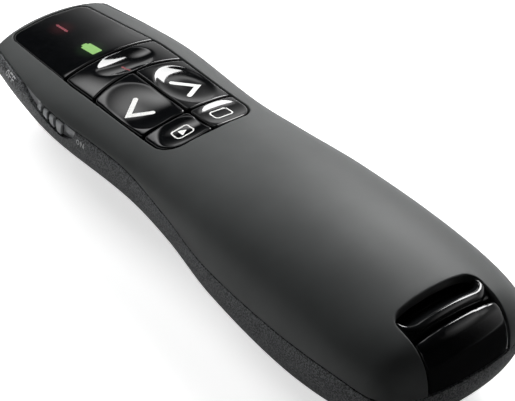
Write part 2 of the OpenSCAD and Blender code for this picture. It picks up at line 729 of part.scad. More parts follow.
module usb_tongue() color("#e6e6e2") block([-plug_w / 2 + 0.35, plug_w / 2 - 0.35], [housing_front - 2.8, plug_front - 0.4],
  [receiver_mid_z + plug_t / 2 - 0.35 - 1.9, receiver_mid_z + plug_t / 2 - 0.35]);

module battery_door() {
  color("#47484a") difference() {
    union() {
      intersection() {
        body();
        door_space(door_w, door_play, door_front);
        union() {
          difference() {
            body();
            body(door_t, cavity_points);
          }
          rail([door_w / 2 - 1.2, door_w / 2 + 1], [tail_y + 10.75, door_front - 2.5], [-1, reach]);
          for (i = [0:4]) block([-door_w / 2, door_w / 2], [rib_y + 8 * i - 0.6, rib_y + 8 * i + 0.6], [0, cell_base - 0.1]);
        }
      }
      rail([door_w / 2 - 1, door_w / 2 + rail_w], [rail_rear, rail_front], [rail_groove + door_play, rail_top - door_play - 0.06]);
    }
    translate([-reach, -reach, -reach]) cube([2 * reach, 2 * reach, reach]);
    // Clear of the cells as it slides
    block([-8.5, 8.5], [bay_rear + cell_nub - 0.1, reach], [cell_base - 0.1, reach]);
    // Finger ridges ahead of the middle
    difference() {
      for (i = [0:3]) block([-6, 6], [door_front - 7.2 - 2 * i, door_front - 6.4 - 2 * i], [0, cell_base]);
      body(0.45, cavity_points);
    }
  }
}

upper_shell();
lower_shell();
indicator_window();
finger_scoop();
receiver_bay();
battery_tray();
contact_front();
contact_rear();
contact_spring_left();
contact_spring_right();
battery_left();
battery_right();
main_board();
tact_switch(0);  // tact_switch_laser
tact_switch(1);  // tact_switch_back
tact_switch(2);  // tact_switch_forward
tact_switch(3);  // tact_switch_play
tact_switch(4);  // tact_switch_blank
slide_switch();
radio_chip();
crystal();
laser_barrel();
laser_lens();
laser_driver();
led_board();
battery_led();
laser_led();
casing_screws();
laser_button();
back_button();
forward_button();
play_button();
blank_button();
plunger(0);  // plunger_laser
plunger(1);  // plunger_back
plunger(2);  // plunger_forward
plunger(3);  // plunger_play
plunger(4);  // plunger_blank
power_switch();
switch_actuator();
receiver_cover();
receiver_base();
receiver_board();
receiver_chip();
usb_shell();
usb_tongue();
battery_door();
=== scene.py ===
import bpy
import bmesh
import math
import numpy as np
from mathutils import Matrix, Vector
from mathutils.geometry import delaunay_2d_cdt


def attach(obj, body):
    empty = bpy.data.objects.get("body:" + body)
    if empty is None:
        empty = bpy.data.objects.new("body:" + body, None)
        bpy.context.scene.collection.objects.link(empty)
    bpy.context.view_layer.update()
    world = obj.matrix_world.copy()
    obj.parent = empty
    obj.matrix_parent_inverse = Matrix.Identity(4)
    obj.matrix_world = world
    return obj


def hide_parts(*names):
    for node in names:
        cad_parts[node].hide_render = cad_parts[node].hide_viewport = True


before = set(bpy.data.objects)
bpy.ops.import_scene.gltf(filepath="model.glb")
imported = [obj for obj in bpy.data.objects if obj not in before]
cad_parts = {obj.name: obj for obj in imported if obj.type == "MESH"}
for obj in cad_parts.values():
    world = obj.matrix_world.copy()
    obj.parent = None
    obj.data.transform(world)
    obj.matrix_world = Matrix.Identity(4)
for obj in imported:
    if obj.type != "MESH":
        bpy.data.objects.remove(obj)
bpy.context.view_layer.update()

mm = 0.001

# the housing's form, as the CAD source has it, in mm
housing = {
    "tail": -57.75, "nose": 57.75,
    "tailRound": 7.5, "noseRound": 1.6, "endPower": 2.6,
    "crownPower": 2.2, "bellyPower": 2.4,
    "bowFrom": 20.0, "bow": 0.011,
    "wall": 1.7, "widest": 18.935, "tallest": 25.59,
    "seamGap": 0.12, "seamEdge": 0.14,
    "tailSteps": 22, "noseSteps": 12, "pitch": 1.25, "columns": 84, "coreColumns": 72,
    # place, half width, crown, belly, girth height, parting line
    "stations": [
        [-57.75, 15.6, 22.6, 5.6, 13.4, 13.8],
        [-46.0, 18.5, 24.5, 2.3, 13.2, 15.3],
        [-32.0, 18.9, 25.6, -0.3, 13.1, 14.6],
        [-13.0, 18.0, 24.8, 1.1, 13.5, 14.3],
        [0.0, 16.4, 23.1, 3.9, 14.5, 15.7],
        [13.0, 15.4, 21.2, 4.7, 14.9, 16.6],
        [34.0, 16.1, 19.9, 5.1, 14.4, 16.1],
        [46.0, 15.1, 18.1, 6.5, 14.3, 15.9],
        [57.75, 12.9, 16.4, 7.6, 14.4, 15.4]],
}
stationTable = np.array(housing["stations"])
stationY = stationTable[:, 0]
halfWidth, crown, belly, girth, seam = 1, 2, 3, 4, 5  # columns of the table

past = {"tail": -70.0, "side": 40.0, "below": -10.0, "above": 40.0}  # where cutters end, beyond the housing
openingFloor = 5.0  # where the cutters of the openings in the top end, inside the housing
crisp = {"solid": 32, "plate": 40, "head": 35}  # edges that turn by more degrees than this stay sharp


def along(u, column):
    # smooth curve through the stations' values of one column
    u = np.clip(np.asarray(u, float), stationY[0], stationY[-1])
    f = stationTable[:, column]
    i = np.clip(np.searchsorted(stationY, u, side="left") - 1, 0, len(stationY) - 2)
    lo = np.maximum(np.arange(len(f)) - 1, 0)
    hi = np.minimum(np.arange(len(f)) + 1, len(f) - 1)
    rate = (f[hi] - f[lo]) / (stationY[hi] - stationY[lo])
    h = stationY[i + 1] - stationY[i]
    t = (u - stationY[i]) / h
    return (f[i] * (2 * t**3 - 3 * t**2 + 1) + rate[i] * h * (t**3 - 2 * t**2 + t)
            + f[i + 1] * (3 * t**2 - 2 * t**3) + rate[i + 1] * h * (t**3 - t**2))


def endScale(u):
    # the share of its full section that the housing has at a place: less at its rounded ends
    u = np.asarray(u, float)
    s = np.maximum(
        np.clip((housing["tail"] + housing["tailRound"] - u) / housing["tailRound"], 0, 1),
        np.clip((u - housing["nose"] + housing["noseRound"]) / housing["noseRound"], 0, 1))
    return (1 - s**housing["endPower"]) ** (1 / housing["endPower"])


def bowShift(u, x):
    # how far the front end's sections bow back towards their sides
    reach = housing["nose"] - housing["bowFrom"]
    return housing["bow"] * x**2 * np.clip((u - housing["bowFrom"]) / reach, 0, 1)


def placeOf(x, y):
    # the section that passes through this place in plan
    u = np.asarray(y, float) + 0 * x
    for _ in range(6):
        u = y + bowShift(u, x)
    return u


def skinTop(x, y):
    # height of the skin over a place in plan
    u = placeOf(x, y)
    e = np.maximum(endScale(u), 1e-6)
    g = along(u, girth)
    n = housing["crownPower"]
    across = np.clip(np.abs(x) / (along(u, halfWidth) * e), 0, 1)
    return g + (along(u, crown) - g) * e * (1 - across**n) ** (1 / n)


def skinSide(y, z):
    # distance of the flank from the middle plane at a place and height
    x = 15.0 + 0 * z
    for _ in range(6):
        u = y + bowShift(np.asarray(y, float), x)
        e = np.maximum(endScale(u), 1e-6)
        g = along(u, girth)
        upper = z >= g
        n = np.where(upper, housing["crownPower"], housing["bellyPower"])
        reach = np.where(upper, (along(u, crown) - g) * e, (g - along(u, belly)) * e)
        x = along(u, halfWidth) * e * (1 - np.clip(np.abs(z - g) / reach, 0, 1) ** n) ** (1 / n)
    return x


# mesh helpers
def meshPiece(name, points, faces, smoothAngle=crisp["solid"]):
    mesh = bpy.data.meshes.new(name)
    places = [tuple(p) for p in np.asarray(points) * mm]
    mesh.from_pydata(places, [], [tuple(int(i) for i in f) for f in faces])
    bm = bmesh.new()
    bm.from_mesh(mesh)
    bmesh.ops.remove_doubles(bm, verts=bm.verts, dist=2e-6)
    bmesh.ops.dissolve_degenerate(bm, edges=bm.edges, dist=1e-6)
    bmesh.ops.recalc_face_normals(bm, faces=bm.faces)
    bm.to_mesh(mesh)
    bm.free()
    piece = bpy.data.objects.new(name, mesh)
    bpy.context.scene.collection.objects.link(piece)
    smooth(piece, smoothAngle)
    return piece


def smooth(piece, angle):
    mesh = piece.data
    mesh.polygons.foreach_set("use_smooth", [True] * len(mesh.polygons))
    mesh.set_sharp_from_angle(angle=math.radians(angle))


def carve(piece, cutters, operation="DIFFERENCE"):
    # booleans are applied one by one, and the cutters go
    for cutter in cutters:
        step = piece.modifiers.new("carve", "BOOLEAN")
        step.operation = operation
        step.solver = "MANIFOLD"
        step.object = cutter
        graph = bpy.context.evaluated_depsgraph_get()
        result = bpy.data.meshes.new_from_object(piece.evaluated_get(graph))
        piece.modifiers.clear()
        old = piece.data
        piece.data = result
        result.name = piece.name
        bpy.data.meshes.remove(old)
        bpy.data.objects.remove(cutter)
    smooth(piece, crisp["solid"])
    return piece


def loft(name, rings, smoothAngle=crisp["solid"]):
    # closed rings joined in order, with a cap at both ends
    rings = np.asarray(rings)
    count, around = rings.shape[:2]
    faces = []
    for i in range(count - 1):
        for j in range(around):
            k = (j + 1) % around
            faces.append((i * around + j, i * around + k, (i + 1) * around + k, (i + 1) * around + j))
    faces.append(tuple(reversed(range(around))))
    faces.append(tuple((count - 1) * around + j for j in range(around)))
    return meshPiece(name, rings.reshape(-1, 3), faces, smoothAngle)


def prism(name, outline, low, high):
    outline = np.asarray(outline, float)
    return loft(name, [np.column_stack([outline, np.full(len(outline), z)]) for z in (low, high)])


def sidePrism(name, profile, left, right):
    # a profile in Y and Z drawn along X
    profile = np.asarray(profile, float)
    return loft(name, [np.column_stack([np.full(len(profile), x), profile]) for x in (left, right)])


def boxCorners(x0, y0, x1, y1):
    return [(x0, y0), (x1, y0), (x1, y1), (x0, y1)]


def rounded(corners, radius, step=0.25):
    # a polygon with each corner rounded, sampled evenly
    corners = [np.array(c, float) for c in corners]
    radii = radius if isinstance(radius, (list, tuple)) else [radius] * len(corners)
    places = []
    for i, corner in enumerate(corners):
        before, after = corners[i - 1] - corner, corners[(i + 1) % len(corners)] - corner
        d1, d2 = before / np.linalg.norm(before), after / np.linalg.norm(after)
        half = math.acos(np.clip(d1 @ d2, -1, 1)) / 2
        r = radii[i]
        if r <= 0 or half > 1.55:
            places.append(corner)
            continue
        back = min(r / math.tan(half), 0.49 * np.linalg.norm(before), 0.49 * np.linalg.norm(after))
        r = back * math.tan(half)
        centre = corner + (d1 + d2) / np.linalg.norm(d1 + d2) * (r / math.sin(half))
        start, end = corner + d1 * back - centre, corner + d2 * back - centre
        a0 = math.atan2(start[1], start[0])
        sweep = (math.atan2(end[1], end[0]) - a0 + math.pi) % (2 * math.pi) - math.pi
        steps = max(3, int(abs(sweep) * r / step) + 2)
        for k in range(steps + 1):
            a = a0 + sweep * k / steps
            places.append(centre + r * np.array([math.cos(a), math.sin(a)]))
    return resampled(places, step)


def resampled(outline, step):
    # even steps along a closed outline, which then runs counter-clockwise
    outline = np.asarray(outline, float)
    keep = [outline[0]]
    for a, b in zip(outline, np.roll(outline, -1, axis=0)):
        n = max(1, int(round(np.linalg.norm(b - a) / step)))
        keep += [a + (b - a) * k / n for k in range(1, n + 1)]
    keep = np.array(keep[:-1])
    gap = np.linalg.norm(keep - np.roll(keep, 1, axis=0), axis=1)
    keep = keep[gap > 0.2 * step]
    q = np.roll(keep, -1, axis=0)
    if np.sum(keep[:, 0] * q[:, 1] - q[:, 0] * keep[:, 1]) < 0:
        keep = keep[::-1]
    return keep


def resampledOpen(line, count):
    gone = np.concatenate([[0], np.cumsum(np.linalg.norm(np.diff(line, axis=0), axis=1))])
    at = np.linspace(0, gone[-1], count)
    return np.column_stack([np.interp(at, gone, line[:, k]) for k in range(2)])


def bend(start, corner, end, count):
    # a smooth bend that cuts a corner
    return [(1 - t) ** 2 * start + 2 * t * (1 - t) * corner + t**2 * end for t in np.linspace(0, 1, count)]


def outward(outline):
    # unit normals of a counter-clockwise outline
    ahead = np.roll(outline, -1, axis=0) - np.roll(outline, 1, axis=0)
    ahead /= np.maximum(np.linalg.norm(ahead, axis=1, keepdims=True), 1e-9)
    return np.column_stack([ahead[:, 1], -ahead[:, 0]])


def shrunk(outline, by):
    return outline - outward(outline) * by


def insideOf(outline, places):
    x, y = places[:, 0], places[:, 1]
    hits = np.zeros(len(places), bool)
    for a, b in zip(outline, np.roll(outline, -1, axis=0)):
        crosses = (a[1] > y) != (b[1] > y)
        slope = (b[0] - a[0]) / (b[1] - a[1]) if b[1] != a[1] else 0.0
        hits ^= crosses & (x < a[0] + (y - a[1]) * slope)
    return hits


def distanceTo(outline, places):
    best = np.full(len(places), 1e9)
    for a, b in zip(outline, np.roll(outline, -1, axis=0)):
        d = b - a
        t = np.clip(((places - a) @ d) / max(d @ d, 1e-12), 0, 1)
        best = np.minimum(best, np.linalg.norm(places - a - t[:, None] * d, axis=1))
    return best


def quarterRound(radius, steps=7):
    # a rounded edge's places: how far in from one face, and how far down from the other
    return [(radius * (1 - math.cos(a)), radius * (1 - math.sin(a))) for a in np.linspace(0, math.pi / 2, steps)]


def plate(name, outline, surface, thickness, edge, step, lift=0.0):
    # a thin piece whose upper face follows surface(p, q, depth), with its rim rounded by edge
    outline = np.asarray(outline, float)
    rims = quarterRound(edge) if edge > 0 else [(0.0, 0.0)]
    inner = shrunk(outline, rims[-1][0])
    low, high = inner.min(axis=0), inner.max(axis=0)
    grid = np.array([(p, q) for p in np.arange(low[0] + step / 2, high[0], step)
                     for q in np.arange(low[1] + step / 2, high[1], step)]).reshape(-1, 2)
    if len(grid):
        grid = grid[insideOf(inner, grid)]
        grid = grid[distanceTo(inner, grid) > 0.45 * step]
    flat = np.vstack([inner, grid]) if len(grid) else inner
    n = len(inner)
    found = delaunay_2d_cdt([tuple(p) for p in flat], [], [list(range(n))], 1, 1e-6)
    places = np.array([tuple(v) for v in found[0]])
    newIndex = {old: new for new, olds in enumerate(found[3]) for old in olds}
    rim = [newIndex[i] for i in range(n)]

    def level(line, depth):
        return surface(line[:, 0], line[:, 1], np.full(len(line), depth))

    points, faces, rings = [level(places, -lift)], [tuple(f) for f in found[2]], [rim]
    base = len(places)
    sides = [(shrunk(outline, offset), drop - lift) for offset, drop in reversed(rims[:-1])]
    for line, depth in sides + [(outline, thickness)]:
        points.append(level(line, depth))
        rings.append(list(range(base, base + n)))
        base += n
    points.append(level(places, thickness))
    rings.append([base + i for i in rim])
    faces += [tuple(base + i for i in reversed(f)) for f in found[2]]
    for a, b in zip(rings, rings[1:]):
        faces += [(a[j], b[j], b[(j + 1) % n], a[(j + 1) % n]) for j in range(n)]
    return meshPiece(name, np.vstack(points), faces, crisp["plate"])


def onTop(p, q, depth):
    return np.column_stack([p, q, skinTop(p, q) - depth])


def onLeftFlank(p, q, depth):
    return np.column_stack([-(skinSide(p, q) - depth), p, q])


ink = {"lift": 0.012, "skirt": 0.03, "step": 0.12, "grid": 0.3}


def strokeOutline(path, width):
    # outline of a line drawn with a round pen, for a path without sharp turns back
    path = [np.array(p, float) for p in path]
    ways = [(b - a) / np.linalg.norm(b - a) for a, b in zip(path, path[1:])]
    left = []
    for w0, w1 in zip(ways, ways[1:]):
        n0, n1 = np.array([-w0[1], w0[0]]), np.array([-w1[1], w1[0]])
        left.append((n0 + n1) / (1 + n0 @ n1) * width / 2)
    a0, a1 = math.atan2(ways[0][0], -ways[0][1]), math.atan2(ways[-1][0], -ways[-1][1])
    turns = np.linspace(0, math.pi, 9)
    start = [path[0] + width / 2 * np.array([math.cos(a0 + t), math.sin(a0 + t)]) for t in turns]
    end = [path[-1] - width / 2 * np.array([math.cos(a1 + t), math.sin(a1 + t)]) for t in turns]
    middle = list(zip(path[1:-1], left))
    out = start + [p - m for p, m in middle] + end + [p + m for p, m in reversed(middle)]
    return resampled(out, ink["step"])


def mark(name, outline, surface, lift=ink["lift"]):
    # a printed mark: a skin of ink on the surface
    return plate(name, outline, surface, ink["skirt"], 0.0, ink["grid"], lift)


def hoop(name, outline, width, surface):
    # a printed line round an outline
    inner = shrunk(outline, width)
    n = len(outline)
    edges = [(outline, ink["skirt"]), (outline, -ink["lift"]), (inner, -ink["lift"]), (inner, ink["skirt"])]
    rings = [surface(line[:, 0], line[:, 1], np.full(n, depth)) for line, depth in edges]
    faces = [(a * n + j, b * n + j, b * n + (j + 1) % n, a * n + (j + 1) % n)
             for a, b in ((0, 1), (1, 2), (2, 3), (3, 0)) for j in range(n)]
    return meshPiece(name, np.vstack(rings), faces)


def joined(name, pieces):
    # several meshes as one piece
    points, faces, base = [], [], 0
    for piece in pieces:
        points += [v.co / mm for v in piece.data.vertices]
        faces += [tuple(base + i for i in f.vertices) for f in piece.data.polygons]
        base += len(piece.data.vertices)
        bpy.data.objects.remove(piece)
    return meshPiece(name, points, faces)


def flareCutter(name, outline, rim):
    # an opening's prism whose upper end flares out, so that the opening's rim is rounded
    rings = [np.column_stack([outline, np.full(len(outline), openingFloor)])]
    for out, drop in quarterRound(rim) + [(rim * 1.05, -0.05)]:
        ring = shrunk(outline, -out)
        rings.append(np.column_stack([ring, skinTop(ring[:, 0], ring[:, 1]) - drop]))
    rings.append(np.column_stack([ring, np.full(len(ring), past["above"])]))
    return loft(name, rings)


# sections of the housing
def endPlaces(count):
    # steps of a superellipse's quarter, from its tip to its full section
    t = np.linspace(0, math.pi / 2, count + 1)
    return np.cos(t) ** (2 / housing["endPower"]), np.sin(t) ** (2 / housing["endPower"])


def sectionPlaces(inset=0.0):
    # where the sections lie, and the share of its full size that each has
    sTail, eTail = endPlaces(housing["tailSteps"])
    sNose, eNose = endPlaces(housing["noseSteps"])
    rear, front, pitch = housing["tail"] + inset, housing["nose"] - inset, housing["pitch"]
    middle = np.arange(rear + housing["tailRound"] + pitch, front - housing["noseRound"] - pitch / 2, pitch)
    tail = rear + housing["tailRound"] * (1 - sTail)
    nose = front - housing["noseRound"] * (1 - sNose[::-1])
    return np.concatenate([tail, middle, nose]), np.concatenate([eTail, np.ones(len(middle)), eNose[::-1]])


def sectionRing(u, a, w, up, down):
    # a section's places at these angles, for its half width and its reach above and below the girth
    c, s = np.cos(a), np.sin(a)
    power = np.where(s >= -1e-9, housing["crownPower"], housing["bellyPower"])
    x = w * np.sign(c) * np.abs(c) ** (2 / power)
    z = along(u, girth) + np.where(s >= 0, up, down) * np.sign(s) * np.abs(s) ** (2 / power)
    return np.column_stack([x, u - bowShift(u, x), z])


def fullForm(name, inset):
    # the whole housing as one closed form, set in from its skin
    a = np.linspace(0, 2 * math.pi, housing["coreColumns"], endpoint=False)
    rings = []
    for u, e in zip(*sectionPlaces(inset)):
        g = along(u, girth)
        up, down = (along(u, crown) - inset - g) * e, (g - along(u, belly) - inset) * e
        rings.append(sectionRing(u, a, (along(u, halfWidth) - inset) * e, up, down))
    grid = np.array(rings)
    grid[..., 2] = np.maximum(grid[..., 2], 0)
    return loft(name, grid)


rollDepths = np.array([0.0, 0.02, 0.05, 0.09, 0.14, 0.3])  # rows of faces along the parting line's edge


def halfForm(name, upper):
    # one half of the housing, above or below the parting line, whose edge is rolled in
    n, r = housing["crownPower"], housing["seamEdge"]
    side = 1 if upper else -1
    places, shares = sectionPlaces()
    rings, rolls = [], []
    for u, e in zip(places, shares):
        g = float(along(u, girth))
        up, down = (min(along(u, crown), housing["tallest"]) - g) * e, (g - along(u, belly)) * e
        w = min(along(u, halfWidth), housing["widest"]) * e
        level = float(along(u, seam)) + side * housing["seamGap"] / 2
        share = np.clip(g + up - level, 0, 1) if upper else 1.0  # a flatter roll where the half runs out
        offsets = rollDepths * share
        heights = np.clip((level + side * offsets - g) / max(up, 1e-9), 0, 1)
        angles = np.arcsin(heights ** (n / 2))
        if upper:
            rest = np.linspace(angles[-1], math.pi - angles[-1], housing["columns"])[1:-1]
            a = np.concatenate([angles, rest, math.pi - angles[::-1]])
        else:
            rest = np.linspace(math.pi - angles[-1], 2 * math.pi + angles[-1], housing["columns"])[1:-1]
            a = np.concatenate([math.pi - angles, rest, 2 * math.pi + angles[::-1]])
        rings.append(sectionRing(u, a, w, up, down))
        inward = (r - np.sqrt(np.maximum(r**2 - (r - np.minimum(offsets, r)) ** 2, 0))) * share
        rolls.append(np.concatenate([inward, np.zeros(len(a) - 2 * len(inward)), inward[::-1]]))
    grid = np.array(rings)
    normal = np.cross(np.gradient(grid, axis=1), np.gradient(grid, axis=0))
    length = np.linalg.norm(normal, axis=2, keepdims=True)
    normal = np.where(length > 1e-9, normal / np.maximum(length, 1e-9), 0)
    if normal[grid.shape[0] // 2, grid.shape[1] // 2, 2] * side < 0:
        normal = -normal
    grid = grid - normal * np.array(rolls)[..., None]
    grid[..., 2] = np.maximum(grid[..., 2], 0)
    if upper:
        # the form starts and ends where its section rises out of the parting line
        tops = along(places, girth) + (along(places, crown) - along(places, girth)) * shares
        grid = grid[tops > along(places, seam) + housing["seamGap"] / 2 + 0.02]
    return loft(name, grid)


# the key panel in plan
panel = {
    "width": 20.5, "frontWidth": 17.2, "rearWidth": 20.0,
    "frontY": 56.3, "rearY": 6.8, "frontRound": 3.0, "rearRound": 5.0,
    "frontCorner": 2.2, "frontBow": 0.5, "rearCorner": 4.0, "rearBow": 0.3,
    "sideRound": 6.0, "sideBack": 3.0,
    "laserFrontY": 37.2, "laserFrontRadius": 90.0,
    "laserRearY": 29.8, "laserRearRadius": 32.0,
    "rowY": 14.4, "gap": 0.35, "windowFit": 0.1, "laserCorner": 0.6, "keyCorner": 0.9,
    "rim": 0.28, "step": 0.3,
}


def convexHull(places):
    places = sorted({tuple(p) for p in np.round(places, 6)})

    def chain(seq):
        out = []
        for p in seq:
            while len(out) > 1 and ((out[-1][0] - out[-2][0]) * (p[1] - out[-2][1])
                                    - (out[-1][1] - out[-2][1]) * (p[0] - out[-2][0])) <= 0:
                out.pop()
            out.append(p)
        return out[:-1]
    return np.array(chain(places) + chain(places[::-1]))


def circle(x, y, r, count=96):
    a = np.linspace(0, 2 * math.pi, count, endpoint=False)
    return np.column_stack([x + r * np.cos(a), y + r * np.sin(a)])


def panelOutline():
    front, rear, side = panel["frontCorner"], panel["rearCorner"], panel["sideRound"]
    frontY, rearY = panel["frontY"], panel["rearY"]
    discs = [circle(0, frontY - panel["frontRound"], panel["frontRound"]),
             circle(0, rearY + panel["rearRound"], panel["rearRound"])]
    for s in (-1, 1):
        discs += [circle(s * (panel["frontWidth"] / 2 - front), frontY - front - panel["frontBow"], front),
                  circle(s * (panel["width"] / 2 - side), panel["laserFrontY"] - panel["sideBack"], side),
                  circle(s * (panel["rearWidth"] / 2 - rear), rearY + rear + panel["rearBow"], rear)]
    return resampled(convexHull(np.vstack(discs)), panel["step"])


def clipped(outline, keep):
    # the part of a convex outline where keep(p) is positive; the cut runs along keep's zero line
    out = []
    values = [keep(p) for p in outline]
    for i in range(len(outline)):
        a, b, va, vb = outline[i - 1], outline[i], values[i - 1], values[i]
        if (va > 0) != (vb > 0):
            lo, hi = a, b
            for _ in range(30):
                mid = (lo + hi) / 2
                if (keep(mid) > 0) == (va > 0):
                    lo = mid
                else:
                    hi = mid
            out.append((lo + hi) / 2)
        if vb > 0:
            out.append(b)
    return np.array(out)


def cutByArc(outline, arc, side):
    # what lies ahead of a round line (side 1) or behind it (side -1), half a gap away from it
    front, radius = arc
    centre, r = front - radius, radius + side * panel["gap"] / 2
    outline = clipped(outline, lambda p: side * (math.hypot(p[0], p[1] - centre) - r))
    out = []
    for a, b in zip(outline, np.roll(outline, -1, axis=0)):
        out.append(a)
        onArc = all(abs(math.hypot(p[0], p[1] - centre) - r) < 1e-3 for p in (a, b))
        if onArc and np.linalg.norm(b - a) > 1.5 * panel["step"]:
            a0, a1 = (math.atan2(p[1] - centre, p[0]) for p in (a, b))
            n = int(np.linalg.norm(b - a) / panel["step"])
            turns = [a0 + (a1 - a0) * k / n for k in range(1, n)]
            out += [np.array([r * math.cos(t), centre + r * math.sin(t)]) for t in turns]
    return np.array(out)


def softened(outline, radius):
    # rounds the corners that clipping leaves
    outline = resampled(outline, panel["step"])
    ahead = np.roll(outline, -1, axis=0) - outline
    behind = outline - np.roll(outline, 1, axis=0)
    turn = np.arctan2(ahead[:, 1], ahead[:, 0]) - np.arctan2(behind[:, 1], behind[:, 0])
    turn = np.abs((turn + math.pi) % (2 * math.pi) - math.pi)
    count, k = len(outline), max(1, int(round(radius / panel["step"])))
    bends, skip = {}, set()
    for i in np.flatnonzero(turn > 0.6):
        skip.update((i + j) % count for j in range(-k, k + 1))
        bends[(i - k) % count] = bend(outline[i - k], outline[i], outline[(i + k) % count], 2 * k + 3)
    if not bends:
        return outline
    places = []
    for i, p in enumerate(outline):
        if i in bends:
            places += bends[i]
        elif i not in skip:
            places.append(p)
    return resampled(places, panel["step"])


keyField = shrunk(panelOutline(), panel["gap"])
halfGap = panel["gap"] / 2
frontArc = (panel["laserFrontY"], panel["laserFrontRadius"])
rearArc = (panel["laserRearY"], panel["laserRearRadius"])


def windowOutline():
    return softened(cutByArc(shrunk(panelOutline(), panel["windowFit"]), frontArc, 1), panel["laserCorner"])


def laserOutline():
    return softened(cutByArc(cutByArc(keyField, frontArc, -1), rearArc, 1), panel["laserCorner"])


def pageOutline(side):
    out = clipped(cutByArc(keyField, rearArc, -1), lambda p: p[1] - panel["rowY"] - halfGap)
    return softened(clipped(out, lambda p: side * p[0] - halfGap), panel["keyCorner"])


def smallOutline(side):
    out = clipped(keyField, lambda p: panel["rowY"] - halfGap - p[1])
    return softened(clipped(out, lambda p: side * p[0] - halfGap), panel["keyCorner"])


# materials
def linear(hexColour):
    parts = [int(hexColour[i:i + 2], 16) / 255 for i in (1, 3, 5)]
    return [c / 12.92 if c <= 0.04045 else ((c + 0.055) / 1.055) ** 2.4 for c in parts] + [1.0]


def wire(tree, item, **inputs):
    # an input goes by its name or its place (i3); a (node, output) pair is linked, anything else is set
    for key, value in inputs.items():
        place = int(key[1:]) if key[0] == "i" and key[1:].isdigit() else key.replace("_", " ")
        if isinstance(value, tuple) and hasattr(value[0], "outputs"):
            tree.links.new(value[0].outputs[value[1]], item.inputs[place])
        else:
            item.inputs[place].default_value = value


def node(tree, kind, settings=None, **inputs):
    # adds one node with its settings and links
    item = tree.nodes.new(kind)
    for key, value in (settings or {}).items():
        setattr(item, key, value)
    wire(tree, item, **inputs)
    return item


def newMaterial(name):
    material = bpy.data.materials.new(name)
    material.use_nodes = True
    tree = material.node_tree
    coords = node(tree, "ShaderNodeTexCoord")
    return material, tree, tree.nodes["Principled BSDF"], (coords, "Object")


def perMetre(sizeInMm):
    # noise scale for a grain of this size
    return 1 / (sizeInMm * mm)


def surfaced(tree, shader, tint, roughness=None, relief=None, **sockets):
    # tint is a grain with two stops, roughness a grain with its range, relief a grain with strength and depth
    grain, *stops = tint
    colours = node(tree, "ShaderNodeValToRGB", i0=(grain, "Fac"))
    for stop, (place, colour) in zip(colours.color_ramp.elements, stops):
        stop.position = place
        stop.color = linear(colour)
    wire(tree, shader, Base_Color=(colours, "Color"), **sockets)
    if roughness:
        grain, low, high = roughness
        rough = node(tree, "ShaderNodeMapRange", i0=(grain, "Fac"), i3=low, i4=high)
        wire(tree, shader, Roughness=(rough, "Result"))
    if relief:
        grain, strength, depth = relief
        bump = node(tree, "ShaderNodeBump", Strength=strength, Distance=depth * mm, Height=(grain, "Fac"))
        wire(tree, shader, Normal=(bump, "Normal"))
    return colours


def softTouchPaint():
    # rubbery paint over moulded ABS: matt, a faint broad sheen, a grain that is felt more than seen
    material, tree, shader, coords = newMaterial("softTouchPaint")
    cloud = node(tree, "ShaderNodeTexNoise", Vector=coords, Scale=perMetre(9), Detail=3.0, Roughness=0.55)
    grain = node(tree, "ShaderNodeTexNoise", Vector=coords, Scale=perMetre(0.22), Detail=2.0, Roughness=0.6)
    surfaced(tree, shader, (cloud, (0.3, "#3d3f3f"), (0.7, "#434545")), (grain, 0.46, 0.54),
             (grain, 0.12, 0.04), IOR=1.5, Specular_IOR_Level=0.36, Sheen_Weight=0.04, Sheen_Roughness=0.5)
    return material


def sparkAbs():
    # ABS moulded in a spark-eroded tool: a dry, finely pitted face that sparkles a little
    material, tree, shader, coords = newMaterial("sparkErodedAbs")
    # real pits are about 0.08 mm; drawn at 0.3 mm so that they show
    pits = node(tree, "ShaderNodeTexNoise", Vector=coords, Scale=perMetre(0.3), Detail=3.0, Roughness=0.7)
    surfaced(tree, shader, (pits, (0.42, "#141517"), (0.6, "#66686a")), (pits, 0.5, 0.7), (pits, 0.5, 0.12),
             IOR=1.53, Specular_IOR_Level=0.4)
    return material


def polishedAbs(name, colour="#08090a", roughness=0.06):
    # black ABS from a polished tool: deep colour, mirror gloss with a trace of moulding waviness
    material, tree, shader, coords = newMaterial(name)
    wave = node(tree, "ShaderNodeTexNoise", Vector=coords, Scale=perMetre(6), Detail=1.0)
    haze = node(tree, "ShaderNodeTexNoise", Vector=coords, Scale=perMetre(1.2), Detail=4.0, Roughness=0.65)
    surfaced(tree, shader, (haze, (0.3, colour), (0.8, "#0d0e10")), (haze, roughness * 0.8, roughness * 1.5),
             (wave, 0.25, 0.02), IOR=1.53)
    return material


def plainPlastic(name, colours, roughness, grainMm=0.5):
    # moulded plastic: one colour, a little uneven in tint and gloss, with the tool's grain
    material, tree, shader, coords = newMaterial(name)
    grain = node(tree, "ShaderNodeTexNoise", Vector=coords, Scale=perMetre(grainMm), Detail=3.0,
                 Roughness=0.6)
    surfaced(tree, shader, (grain, (0.3, colours[0]), (0.7, colours[1])), (grain, *roughness),
             (grain, 0.2, 0.05), IOR=1.5)
    return material


def plainMetal(name, colours, roughness, grainMm=0.4, stretch=(1, 1, 1)):
    # bare or plated metal: bright, with a fine grain that lies along the way it was worked
    material, tree, shader, coords = newMaterial(name)
    worked = node(tree, "ShaderNodeMapping", Vector=coords, Scale=stretch)
    grain = node(tree, "ShaderNodeTexNoise", Vector=(worked, "Vector"), Scale=perMetre(grainMm), Detail=4.0,
                 Roughness=0.6)
    surfaced(tree, shader, (grain, (0.3, colours[0]), (0.7, colours[1])), (grain, *roughness),
             (grain, 0.15, 0.03), Metallic=1.0)
    return material


